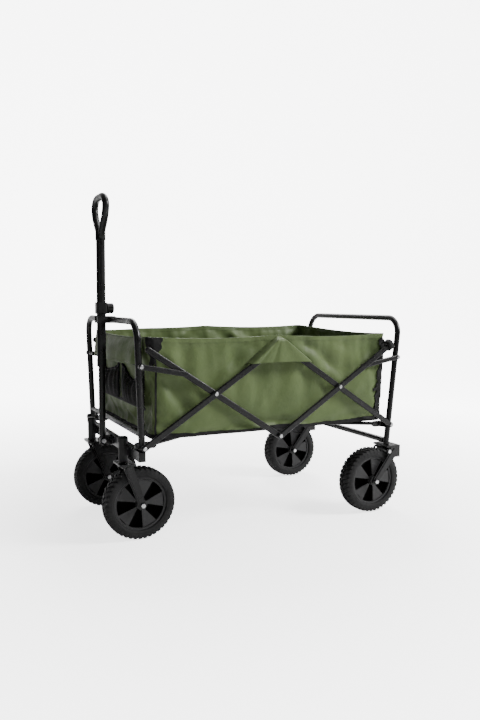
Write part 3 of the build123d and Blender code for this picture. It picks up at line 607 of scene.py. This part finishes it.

# %% [markdown]
# ## Pulls and tucks
# The tub hangs from the scissors' top pivots, so each side panel shows pulls that fan out from there,
# and short tucks where the foot is tacked to the corners. Each is a soft ridge or valley along a line
# on the panel, added after the cloth run, because a sculptor decides where cloth pulls.

# %% Lay the folds
# each fold: start and end (x from the fold's middle, z), half width, height outwards
SIDE_FOLDS = [
    ((-0.020, 0.500), (-0.215, 0.350), 0.016, 0.0060),
    ((-0.060, 0.502), (-0.205, 0.395), 0.012, -0.0068),
    ((-0.110, 0.500), (-0.240, 0.420), 0.017, 0.0044),
    ((0.020, 0.500), (0.200, 0.365), 0.016, 0.0056),
    ((0.062, 0.502), (0.190, 0.405), 0.012, -0.0070),
    ((0.115, 0.500), (0.250, 0.425), 0.016, 0.0040),
    ((-0.330, 0.488), (-0.215, 0.312), 0.020, 0.0046),
    ((-0.330, 0.430), (-0.255, 0.300), 0.013, -0.0052),
    ((-0.335, 0.268), (-0.240, 0.322), 0.008, 0.0048),
    ((-0.325, 0.282), (-0.262, 0.345), 0.008, -0.0052),
    ((-0.300, 0.264), (-0.190, 0.284), 0.007, 0.0040),
    ((-0.230, 0.262), (-0.070, 0.292), 0.010, -0.0042),
    ((-0.150, 0.272), (0.020, 0.268), 0.008, 0.0036),
    ((0.060, 0.264), (0.200, 0.290), 0.009, 0.0040),
    ((0.120, 0.262), (0.300, 0.300), 0.010, -0.0050),
    ((0.330, 0.272), (0.245, 0.318), 0.008, 0.0046),
    ((0.326, 0.300), (0.300, 0.420), 0.011, -0.0056),
    ((0.318, 0.300), (0.280, 0.440), 0.010, 0.0044),
    ((0.330, 0.495), (0.215, 0.385), 0.018, -0.0056),
    ((0.325, 0.470), (0.240, 0.340), 0.014, 0.0044),
    ((-0.045, 0.420), (-0.020, 0.285), 0.020, -0.0036),
    ((0.050, 0.420), (0.036, 0.300), 0.022, 0.0032),
]
END_FOLDS = [
    ((-0.200, 0.420), (-0.150, 0.290), 0.014, 0.0056),
    ((-0.165, 0.430), (-0.120, 0.300), 0.012, -0.0054),
    ((0.190, 0.425), (0.120, 0.300), 0.014, 0.0054),
    ((0.060, 0.440), (0.030, 0.290), 0.018, -0.0046),
    ((-0.060, 0.300), (0.060, 0.292), 0.012, 0.0040),
    ((-0.200, 0.496), (-0.020, 0.462), 0.012, 0.0052),
    ((0.205, 0.496), (0.050, 0.452), 0.013, -0.0050),
    ((0.150, 0.498), (0.000, 0.470), 0.012, 0.0044),
]
FOLD_DEPTH = 1.0     # all folds are this much deeper than drawn above
PANEL_IN = 0.0045   # panels lie this far inside the straight shell, so ridges have room


def fold_height(across, z, folds):
    total = 0.0
    for (x0, z0), (x1, z1), width, height in folds:
        dx, dz = x1 - x0, z1 - z0
        t = ((across - x0) * dx + (z - z0) * dz) / (dx * dx + dz * dz)
        near = min(1.0, max(0.0, t))
        off = math.hypot(across - x0 - near * dx, z - z0 - near * dz)
        fade = smooth_step((1.25 - t) / 0.6)
        total += height * fade * math.exp(-((off / width) ** 2))
    return total * FOLD_DEPTH


for v, p in zip(shell.data.vertices, cut_points):
    if p.z < tub_low.z + 0.004:
        continue
    hold = smooth_step((tub_high.z - 0.004 - p.z) / 0.02)
    if abs(p.y) > tub_high.y - 0.003:
        height = fold_height(p.x - FOLD_X, p.z, SIDE_FOLDS) - PANEL_IN
        v.co.y += hold * height * (1 if p.y > 0 else -1)
    elif p.x < tub_low.x + 0.003:
        v.co.x -= hold * fold_height(p.y, p.z, END_FOLDS)
    elif p.x > tub_high.x - 0.003:
        v.co.x += hold * fold_height(-p.y, p.z, END_FOLDS)

SIDE_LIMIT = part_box("arm_b_left")[0].y - 0.0035
for v in shell.data.vertices:
    if abs(v.co.y) > SIDE_LIMIT:
        v.co.y = math.copysign(SIDE_LIMIT, v.co.y)
print("panels stay inside y", round(SIDE_LIMIT, 4))

# %% [markdown]
# ## Sew the panels
# Each panel, hem and binding is the set of the shell's faces at its place, separated into its own
# object. They share their edges with their neighbours, so no gap can open. Solidify gives the cloth
# its thickness, and the doubled hems and the folded tape get more. Before that, every point gets its
# place on the flat cut, for the weave to follow.

# %% Cut the shell apart
PANEL_T, HEM_T, TAPE_T, NARROW_TAPE_T = 0.0010, 0.0024, 0.0032, 0.0014
HEM_DEEP, TAPE_DEEP = 0.011, 0.011
CORNER_TAPE_FROM, CORNER_TAPE_TO = 20, 45   # degrees round a front corner, from the side


def store_cut(obj, points):
    """Attribute "cut": each point's place on the flat piece, u along and v up."""
    layer = obj.data.attributes.new("cut", "FLOAT_VECTOR", "POINT")
    flat = []
    for p in points:
        on_floor = p.z < tub_low.z + 0.001 and abs(p.y) < tub_high.y - 0.02
        along = p.x if abs(p.y) > tub_high.y - 0.017 or on_floor else p.x + p.y
        flat += [along, p.y if on_floor else p.z, 0.0]
    layer.data.foreach_set("vector", flat)


def place_of(face):
    """Middle of a face on the straight shell, before it was hung."""
    middle = Vector((0, 0, 0))
    for i in face.vertices:
        middle += cut_points[i]
    return middle / len(face.vertices)


def sort_face(c):
    """Which piece of the tub a face belongs to, by its place on the straight shell."""
    side = "left" if c.y > 0 else "right"
    on_side, on_front = abs(c.y) > tub_high.y - 0.003, c.x < tub_low.x + 0.003
    past_x, past_y = tub_low.x + CORNER_R - c.x, abs(c.y) - tub_high.y + CORNER_R
    if c.z < tub_low.z + 0.0005:
        return "tub_floor"
    if c.z < tub_low.z + TAPE_DEEP:
        return "foot_tape"
    if c.z > tub_high.z - HEM_DEEP:
        return "rim_hem"
    turn = math.degrees(math.atan2(past_x, past_y))
    if past_x > 0 and past_y > 0 and CORNER_TAPE_FROM < turn < CORNER_TAPE_TO:
        return f"front_corner_tape_{side}"
    if on_side:
        return f"side_panel_{side}"
    return "front_panel" if on_front else "rear_panel"


store_cut(shell, cut_points)
face_piece = [sort_face(place_of(f)) for f in shell.data.polygons]
PIECES = sorted(set(face_piece))
print("pieces:", PIECES)

# %% Separate, thicken and finish each piece
LOOKS = {
    "tub_floor": (black_oxford, PANEL_T), "foot_tape": (black_tape, TAPE_T), "rim_hem": (olive, HEM_T),
    "front_panel": (olive, PANEL_T), "rear_panel": (olive, PANEL_T),
}
FLATS = {
    "tub_floor": (0.46, 0.70), "front_panel": (0.46, 0.235), "rear_panel": (0.46, 0.235),
}


def look_of(name):
    if name in LOOKS:
        return LOOKS[name]
    if "tape" in name:
        return black_tape, NARROW_TAPE_T
    return olive, PANEL_T


def take(name):
    """Copy the shell, keep only this piece's faces, and finish it."""
    piece = shell.copy()
    piece.data = shell.data.copy()
    piece.name = piece.data.name = name
    bpy.context.scene.collection.objects.link(piece)
    edit(piece, "FACE")
    bpy.ops.object.mode_set(mode="OBJECT")
    for face, owner in zip(piece.data.polygons, face_piece):
        face.select = owner != name
    bpy.ops.object.mode_set(mode="EDIT")
    bpy.ops.mesh.delete(type="FACE")
    bpy.ops.object.mode_set(mode="OBJECT")
    area = sum(f.area for f in piece.data.polygons)
    look, thick = look_of(name)
    modify(piece, "SUBSURF", levels=1, render_levels=1, boundary_smooth="PRESERVE_CORNERS")
    modify(piece, "SOLIDIFY", thickness=thick, offset=0.0)
    piece.data.materials.clear()
    piece.data.materials.append(look)
    pick(piece)
    bpy.ops.object.shade_smooth_by_angle(angle=math.radians(60))
    return piece, area


tub_pieces = {}
for name in PIECES:
    tub_pieces[name], area = take(name)
    print(name, len(tub_pieces[name].data.polygons), "faces, area", round(area, 4), "m2")
    tub_pieces[name]["area"] = area

# %% [markdown]
# ## Patches and bindings on the panels
# Some pieces are sewn flat onto a panel: the black corner patches behind the front arms, and the
# bindings down the rear corners. Each starts as a grid just outside the tub and a shrinkwrap lays
# it on the cloth, so it follows every fold under it.

# %% Lay a piece on the tub
def flat_grid(name, columns, rows, place, flat=None):
    """A grid primitive whose points are set by place(u, v), u and v from 0 to 1."""
    clear()
    bpy.ops.mesh.primitive_grid_add(x_subdivisions=columns, y_subdivisions=rows, size=1)
    obj = named(name)
    layer = obj.data.attributes.new("cut", "FLOAT_VECTOR", "POINT")
    cut = []
    for v in obj.data.vertices:
        u, up = v.co.x + 0.5, v.co.y + 0.5
        v.co = place(u, up)
        cut += [*(flat(u, up) if flat else (v.co.x + v.co.y, v.co.z)), 0.0]
    layer.data.foreach_set("vector", cut)
    return done(obj, 60)


def lay_on_tub(obj, lift, thick, look):
    area = sum(f.area for f in obj.data.polygons)
    modify(obj, "SHRINKWRAP", target=shell, wrap_method="NEAREST_SURFACEPOINT",
           wrap_mode="ABOVE_SURFACE", offset=lift)
    modify(obj, "SOLIDIFY", thickness=thick, offset=0.0)
    obj.data.materials.append(look)
    pick(obj)
    bpy.ops.object.shade_smooth_by_angle(angle=math.radians(60))
    return obj, area


CORNER_REACH = 0.020
PATCH, REAR_BINDING = (-0.024, 0.026), (-0.006, 0.026)   # start and stop, measured round the corner


def round_corner(end, side, along, z):
    """A point just outside the tub, along is 0 where the side panel starts to turn."""
    turn = max(0.0, along) / CORNER_REACH
    corner_x = (tub_high.x if end > 0 else tub_low.x) - end * 0.014
    x = corner_x + end * (CORNER_REACH * math.sin(turn) + min(0.0, along))
    return Vector((x, side * (tub_high.y - 0.014 + CORNER_REACH * math.cos(turn)), z))


def corner_patch(side, label):
    """Black patch round the corner behind the end of the front arm, its lower edge slanted."""
    def place(u, up):
        foot = 0.446 - 0.014 * smooth_step(u * 1.6) + 0.030 * (1 - u) ** 2
        z = foot + (tub_high.z - 0.001 - foot) * up
        return round_corner(-1, side, PATCH[0] + (PATCH[1] - PATCH[0]) * u, z)

    return lay_on_tub(flat_grid(f"front_corner_patch_{label}", 16, 16, place), 0.0012, 0.0010, black_oxford)


def corner_binding(side, label):
    """Tape round a rear upright corner of the tub, a little wavy where the cloth puckers."""
    def place(u, up):
        wave = 0.0022 * math.sin(31 * up) + 0.0016 * math.sin(57 * up + 1)
        along = REAR_BINDING[0] + (REAR_BINDING[1] - REAR_BINDING[0]) * u + wave
        point = round_corner(1, side, along, tub_low.z + 0.004 + (tub_high.z - tub_low.z - 0.020) * up)
        point.x -= FOOT_REAR * (1 - up)
        return point

    return lay_on_tub(flat_grid(f"rear_binding_{label}", 8, 60, place), 0.0026, 0.0020, black_tape)


overlays = {}
for label, side in (("left", 1), ("right", -1)):
    overlays[f"patch_{label}"] = corner_patch(side, label)
    overlays[f"binding_{label}"] = corner_binding(side, label)
print("laid on:", [o[0].name for o in overlays.values()])

# %% [markdown]
# ## Top flaps
# At the middle of each side the tub is carried by the scissors' top pivot: a pocket of doubled cloth,
# shaped like a tent, is sewn under the rim and drops over the ends of the two top arms. Its slanted
# sides run down just above the arms and its lower edge is open. It is made from a grid: each row is
# spread to the tent's width, and each point is pushed out as far as the arms below need.

# %% Shape a flap
FLAP_TOP, FLAP_FOOT = tub_high.z - 0.0025, 0.433
FLAP_TOP_X, FLAP_FOOT_X = (-0.007, 0.005), (-0.094, 0.096)
FLAP_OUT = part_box("arm_rivets_a")[1].y + 0.0016
FLAP_IN = tub_high.y + 0.0012
FLAP_WALL = 0.009


def flap(side, label):
    clear()
    bpy.ops.mesh.primitive_grid_add(x_subdivisions=56, y_subdivisions=26, size=1)
    obj = named(f"top_flap_{label}")
    places = []
    for v in obj.data.vertices:
        u, down = v.co.x + 0.5, 0.5 - v.co.y
        low_x = FLAP_TOP_X[0] + (FLAP_FOOT_X[0] - FLAP_TOP_X[0]) * down
        high_x = FLAP_TOP_X[1] + (FLAP_FOOT_X[1] - FLAP_TOP_X[1]) * down
        x = low_x + (high_x - low_x) * u
        z = FLAP_TOP + (FLAP_FOOT - FLAP_TOP) * down
        edge = min(x - low_x, high_x - x)
        out = smooth_step(edge / FLAP_WALL + 0.05) * smooth_step(down / 0.17)
        pleat = math.exp(-((u - 0.16) / 0.05) ** 2) + 0.8 * math.exp(-((u - 0.36) / 0.045) ** 2)
        sway = (0.0010 * math.sin(u * 17) - 0.0030 * pleat) * down
        z += 0.0025 * math.sin(math.pi * u) * down - RIM_SAG * 0.1
        y = FLAP_IN + (FLAP_OUT - FLAP_IN) * out + sway * out
        places.append((x, z))
        v.co = (FOLD_X + x, side * y, z)
    layer = obj.data.attributes.new("cut", "FLOAT_VECTOR", "POINT")
    layer.data.foreach_set("vector", [c for x, z in places for c in (x, z, 0.0)])
    done(obj, 60)
    area = sum(f.area for f in obj.data.polygons)
    modify(obj, "SUBSURF", levels=1, render_levels=1, boundary_smooth="PRESERVE_CORNERS")
    modify(obj, "SOLIDIFY", thickness=0.0014, offset=0.0)
    obj.data.materials.append(olive)
    return obj, area


flaps = {label: flap(side, label) for label, side in (("left", 1), ("right", -1))}
for label, (obj, area) in flaps.items():
    print(obj.name, len(obj.data.polygons), "faces, area", round(area, 4), "m2")

# %% [markdown]
# ## Front band and pockets
# A deep band of cloth hangs from the front rim and stands off the panel along its lower edge. Below
# it are two net pockets whose tops are gathered on elastic cord. The cord droops in a slack curve,
# pleats are deep there and fade out towards the foot, where the net is sewn flat under a tape.

# %% Hang the band
BAND_TOP, BAND_FOOT = tub_high.z - 0.006, 0.438
BAND_HALF, BAND_OUT = 0.208, 0.015
POCKET_TOP, POCKET_FOOT = 0.424, 0.330
POCKET_HALF, POCKET_MID = 0.090, 0.104
POCKET_PLEATS = 6
ELASTIC_R = 0.0034


def panel_x(z):
    """Front face of the front panel at height z, before its creases."""
    front = smooth_step((z - FLARE_Z) / (tub_high.z - FLARE_Z))
    return tub_low.x + FOOT_FRONT * (1 - front)


def band_place(u, up):
    y = (u - 0.5) * 2 * BAND_HALF
    down = 1 - up
    roll = math.sin(math.pi * min(1.0, down * 0.62)) ** 0.8
    wave = 0.0022 * math.sin(31 * y + 1) + 0.0014 * math.sin(67 * y)
    ends = smooth_step(min(u, 1 - u) / 0.09)
    x = tub_low.x - 0.0022 - (BAND_OUT * roll + wave * down) * (0.25 + 0.75 * ends)
    z = BAND_TOP + (BAND_FOOT - BAND_TOP) * down - 0.004 * sag(u) * down - RIM_SAG * 0.6 * sag(u)
    return Vector((x, y, z))


def thicken(obj, thick, look):
    area = sum(f.area for f in obj.data.polygons)
    modify(obj, "SOLIDIFY", thickness=thick, offset=0.0)
    obj.data.materials.append(look)
    pick(obj)
    bpy.ops.object.shade_smooth_by_angle(angle=math.radians(60))
    return obj, area


def band_cut(u, up):
    return u * 2 * BAND_HALF, up * 0.07


band = thicken(flat_grid("front_band", 84, 14, band_place, band_cut), 0.0016, olive)


def band_hem_place(u, up):
    """The band's lowest tenth, a little further out."""
    return band_place(u, up * 0.10) - Vector((0.0012, 0, 0))


hem = thicken(flat_grid("front_band_hem", 84, 2, band_hem_place, band_cut), 0.0016, olive)
print("band area", round(band[1], 4), "m2")


# %% Shape a pocket
def pocket_place(u, down, middle):
    droop = (0.030 + 0.006 * math.sin(7 * u + middle * 20)) * sag(u) * (1 - down)
    fade = sag(u) ** 0.4
    pleat = math.cos(2 * math.pi * POCKET_PLEATS * u + 1.3 * math.sin(9 * u)) * 0.0026 * (1 - down) ** 0.7
    belly = 0.011 * fade * math.sin(math.pi * (0.15 + 0.85 * (1 - down)))
    z = POCKET_TOP - droop - (POCKET_TOP - POCKET_FOOT) * down * (1 - 0.30 * sag(u) * (1 - down))
    y = middle + (u - 0.5) * 2 * POCKET_HALF
    return Vector((panel_x(z) - 0.011 - belly - pleat * fade, y, z))


def pocket(label, middle):
    def place(u, up):
        return pocket_place(u, 1 - up, middle)

    obj = flat_grid(f"front_pocket_{label}", 90, 20, place, lambda u, up: (u * 0.23, up * 0.11))
    return thicken(obj, 0.0006, net)


def edge_cord(label, middle):
    """The elastic in the pocket's top hem: a round cord along the gathered edge."""
    clear()
    length = 2 * POCKET_HALF
    bpy.ops.mesh.primitive_cylinder_add(vertices=8, radius=ELASTIC_R, depth=length,
                                        rotation=(math.pi / 2, 0, 0))
    obj = named(f"pocket_elastic_{label}")
    slice_at(obj, 1, steps(-POCKET_HALF, POCKET_HALF, 0.004))
    layer = obj.data.attributes.new("cut", "FLOAT_VECTOR", "POINT")
    layer.data.foreach_set("vector", [c for v in obj.data.vertices for c in v.co])
    for v in obj.data.vertices:
        u = min(1.0, max(0.0, v.co.y / length + 0.5))
        v.co = pocket_place(u, 0.0, middle) + Vector((v.co.x, 0, v.co.z))
    obj.data.materials.append(black_tape)
    return done(obj, 60)


pockets = {}
for label, side in (("left", 1), ("right", -1)):
    pockets[label] = pocket(label, side * POCKET_MID) + (edge_cord(label, side * POCKET_MID),)
    print(pockets[label][0].name, len(pockets[label][0].data.polygons), "faces")


# %% Tapes above and below the pockets
def front_strip(name, z0, z1, half_w, out, look):
    def place(u, up):
        z = z0 + (z1 - z0) * up
        return Vector((panel_x(z) - out, (u - 0.5) * 2 * half_w, z))

    return thicken(flat_grid(name, 70, 3, place), 0.0016, look)


seam = front_strip("front_seam_tape", 0.427, 0.433, 0.196, 0.0085, black_tape)
foot_seam = front_strip("pocket_foot_tape", POCKET_FOOT - 0.005, POCKET_FOOT + 0.002, 0.196,
                        0.0105, black_tape)

# %% [markdown]
# ## Rear straps
# At each rear top corner a short loop of black webbing ties the tub to the upper end of the rear arm.
# It is a flat band wrapped round the arm's end: a cylinder squeezed to the arm's section, with its two
# flat ends left off.

# %% Wrap a strap round each rear arm's end
def wrap_strap(label):
    low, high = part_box(f"arm_c_{label}")
    side = 1 if high.y > 0 else -1
    end = Vector((high.x - 0.012, (low.y + high.y) / 2, high.z - 0.010))
    clear()
    bpy.ops.mesh.primitive_cylinder_add(vertices=32, radius=1, depth=0.018, end_fill_type="NOTHING")
    obj = named(f"rear_strap_{label}")
    slope = math.atan2(high.z - low.z, high.x - low.x)
    for v in obj.data.vertices:
        a = math.atan2(v.co.y, v.co.x)
        across = math.copysign(abs(math.sin(a)) ** 0.5, math.sin(a)) * 0.0118
        out = math.copysign(abs(math.cos(a)) ** 0.5, math.cos(a)) * 0.0118 - 0.0062
        along = v.co.z
        x = along * math.cos(slope) - across * math.sin(slope)
        z = along * math.sin(slope) + across * math.cos(slope)
        v.co = end + Vector((x, side * out, z))
    layer = obj.data.attributes.new("cut", "FLOAT_VECTOR", "POINT")
    layer.data.foreach_set("vector", [c for v in obj.data.vertices for c in (v.co.x, v.co.z, 0)])
    done(obj, 60)
    modify(obj, "SOLIDIFY", thickness=0.0016, offset=1.0)
    obj.data.materials.append(black_tape)
    return obj


straps = {label: wrap_strap(label) for label in ("left", "right")}
print("straps:", [s.name for s in straps.values()])

# %% [markdown]
# ## Floor mat
# A stiffened mat lies on the tub's floor, in four padded panels with stitched fold lines between
# them, so that it folds with the wagon. A cube is cut across at many places, and each panel is
# crowned a little with soft edges.

# %% Pad the mat
mat_low, mat_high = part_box("floor_mat")
MAT_PANELS = 4


def mat_height(p):
    along = (p.x - mat_low.x) / (mat_high.x - mat_low.x) * MAT_PANELS
    across = (p.y - mat_low.y) / (mat_high.y - mat_low.y)
    u = along - math.floor(min(along, MAT_PANELS - 1e-6))
    edge = min(u, 1 - u) * (mat_high.x - mat_low.x) / MAT_PANELS
    side = min(across, 1 - across) * (mat_high.y - mat_low.y)
    return smooth_step(edge / 0.012) * smooth_step(side / 0.012)


def floor_mat():
    obj = box_between("floor_mat_pad", mat_low, mat_high)
    for axis in (0, 1):
        slice_at(obj, axis, steps(mat_low[axis], mat_high[axis], 0.005 if axis == 0 else 0.012))
    layer = obj.data.attributes.new("cut", "FLOAT_VECTOR", "POINT")
    layer.data.foreach_set("vector", [c for v in obj.data.vertices for c in (v.co.x, v.co.y, 0)])
    top = mat_high.z - mat_low.z
    for v in obj.data.vertices:
        if v.co.z > mat_low.z + top / 2:
            ripple = 0.0006 * math.sin(v.co.x * 60) * math.sin(v.co.y * 45)
            v.co.z = mat_low.z + top * (0.35 + 0.65 * mat_height(v.co)) + ripple
    obj.data.materials.append(olive_inside)
    return done(obj, 60)


mat = floor_mat()
print("mat:", len(mat.data.polygons), "faces")

# %% [markdown]
# When the wagon folds, the tub crumples between the two loops. Here every sheet, the mat and the
# pocket cords get their own mesh and are parented under the front frame, and the straps under the
# rear arms. The CAD tub and mat are hidden.

# %% Carry the soft pieces
ARM_HALF = 0.0075    # half of an arm's width
PIVOT_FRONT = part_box("arm_a_left")[0] + Vector((ARM_HALF, 0, ARM_HALF))
PIVOT_FRONT.y = 0


def soft(piece, area=None):
    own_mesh(piece)
    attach(piece, "front_frame")


for name, piece in tub_pieces.items():
    area = piece["area"]
    del piece["area"]
    flat = FLATS.get(name)
    if name.startswith("side_panel"):
        flat = (0.68, 0.235)
    elif "corner" in name:
        flat = (max(0.011, area / 0.25 * 1.02), 0.25)
    if name in ("foot_tape", "rim_hem"):
        flat = (area / 2.3 * 1.01, 2.3)
    soft(piece, min(area, flat[0] * flat[1]))
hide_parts("fabric_tub")

for label, (obj, area) in flaps.items():
    soft(obj, area)
for label, (obj, area, cord) in pockets.items():
    soft(obj, area)
    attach(cord, "front_frame")
    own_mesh(cord)
for piece, area in (seam, foot_seam):
    soft(piece, area)
soft(band[0], band[1])
soft(hem[0], min(hem[1], 0.43 * 0.014))
for name, (piece, area) in overlays.items():
    flat = (0.056, 0.066) if "patch" in name else (0.035, 0.24)
    area = min(area, flat[0] * flat[1])
    soft(piece, area)
bpy.data.objects.remove(shell)
for label, strap in straps.items():
    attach(strap, "arms_c")

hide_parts("floor_mat")
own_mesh(mat)
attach(mat, "front_frame")

# %% [markdown]
# ## The studio
# A plain pale floor runs into a curved backdrop, so no horizon shows. The paper glows far more for the
# camera than for the wagon, so it looks white and still lights the wagon little. The key light stands
# to the right and rakes along the side panel, two softer lights hang above and behind, and a thin
# strip and a black card on the left keep the front dark with narrow highlights.

# %% Floor and backdrop
FLOOR_HALF, WALL_Y, WALL_TOP, SWEEP_R = 6.0, 3.4, 6.0, 1.6


def studio_sweep():
    """A sheet of pale paper: flat, then bent up in a quarter circle, then upright."""
    clear()
    bpy.ops.mesh.primitive_grid_add(x_subdivisions=2, y_subdivisions=60, size=1)
    obj = named("studio_sweep")
    flat = WALL_Y - SWEEP_R + FLOOR_HALF
    bend = SWEEP_R * math.pi / 2
    total = flat + bend + WALL_TOP
    for v in obj.data.vertices:
        s = (v.co.y + 0.5) * total
        x = v.co.x * 4 * FLOOR_HALF
        if s < flat:
            v.co = (x, s - FLOOR_HALF, 0)
        elif s < flat + bend:
            a = (s - flat) / SWEEP_R
            v.co = (x, WALL_Y - SWEEP_R + SWEEP_R * math.sin(a), SWEEP_R * (1 - math.cos(a)))
        else:
            v.co = (x, WALL_Y, SWEEP_R + s - flat - bend)
    pick(obj)
    bpy.ops.object.shade_smooth()
    return obj


GLOW_NEAR, GLOW = 2.5, 6.5   # how bright the paper looks under the wagon and far from it
BOUNCE = 0.2                 # how much the paper itself lights the wagon


def paper():
    mat, tree, shader, place = finish("studio_paper", (0.80, 0.80, 0.80), 0.75)
    tint(tree, noise(tree, place, 0.6), (0.79, 0.79, 0.79), (0.81, 0.81, 0.81), shader.inputs["Base Color"])
    shader.inputs["Emission Color"].default_value = (1, 1, 1, 1)
    away = tree.nodes.new("ShaderNodeVectorMath")
    away.operation = "LENGTH"
    tree.links.new(place, away.inputs[0])
    seen = tree.nodes.new("ShaderNodeLightPath").outputs["Is Camera Ray"]
    mixed = tree.nodes.new("ShaderNodeMix")
    mixed.inputs["A"].default_value = BOUNCE
    tree.links.new(seen, mixed.inputs["Factor"])
    spread(tree, away.outputs["Value"], GLOW_NEAR, GLOW, mixed.inputs["B"], frm=(0.55, 2.2))
    tree.links.new(mixed.outputs["Result"], shader.inputs["Emission Strength"])
    return mat


sweep = studio_sweep()
sweep.data.materials.append(paper())

# %% Lights
def softbox(name, place, size, power, colour=(1, 1, 1), target=(0, 0, 0.35)):
    bpy.ops.object.light_add(type="AREA", location=place)
    lamp = bpy.context.active_object
    lamp.name = name
    lamp.data.shape = "RECTANGLE"
    lamp.data.size, lamp.data.size_y = size
    lamp.data.energy = power
    lamp.data.color = colour
    aim = Vector(target) - Vector(place)
    lamp.rotation_euler = aim.to_track_quat("-Z", "Y").to_euler()
    return lamp


clear()
bpy.ops.mesh.primitive_plane_add(size=1)
bpy.context.active_object.scale = (2.0, 2.6, 1)
bpy.context.active_object.rotation_euler = (0, math.pi / 2, 0)
bpy.context.active_object.location = (-1.7, 0.5, 1.05)
card = named("black_card")
card.data.materials.append(finish("card_black", (0.01, 0.01, 0.01), 0.9)[0])
softbox("key_light", (2.7, -1.9, 2.6), (1.1, 1.1), 300)
softbox("top_strip", (0.9, 0.3, 3.0), (2.6, 1.2), 85)
softbox("back_light", (0.9, 2.4, 2.4), (1.6, 1.0), 60)
softbox("edge_strip", (-2.2, -1.6, 1.4), (0.08, 1.8), 3)
world = bpy.data.worlds.new("studio_air")
world.use_nodes = True
world.node_tree.nodes["Background"].inputs["Color"].default_value = (1, 1, 1, 1)
world.node_tree.nodes["Background"].inputs["Strength"].default_value = 0.12
bpy.context.scene.world = world

# %% Camera
CAMERA_PLACE = Vector((-0.8327, -1.6946, 0.5804))
YAW, PITCH, ROLL = math.radians(26.83), math.radians(-4.83), math.radians(0.41)
LENS = 33.12


def look_matrix():
    """Camera axes from yaw (from +Y towards +X), pitch and roll."""
    ahead = Vector((math.sin(YAW) * math.cos(PITCH), math.cos(YAW) * math.cos(PITCH), math.sin(PITCH)))
    right = ahead.cross(Vector((0, 0, 1))).normalized()
    up = right.cross(ahead)
    turned_right = right * math.cos(ROLL) + up * math.sin(ROLL)
    turned_up = up * math.cos(ROLL) - right * math.sin(ROLL)
    return Matrix((turned_right, turned_up, -ahead)).transposed()


bpy.ops.object.camera_add(location=CAMERA_PLACE, rotation=look_matrix().to_euler())
camera = bpy.context.active_object
camera.data.lens = LENS
camera.data.sensor_width = 36
bpy.context.scene.camera = camera
print("camera at", [round(v, 3) for v in camera.location])
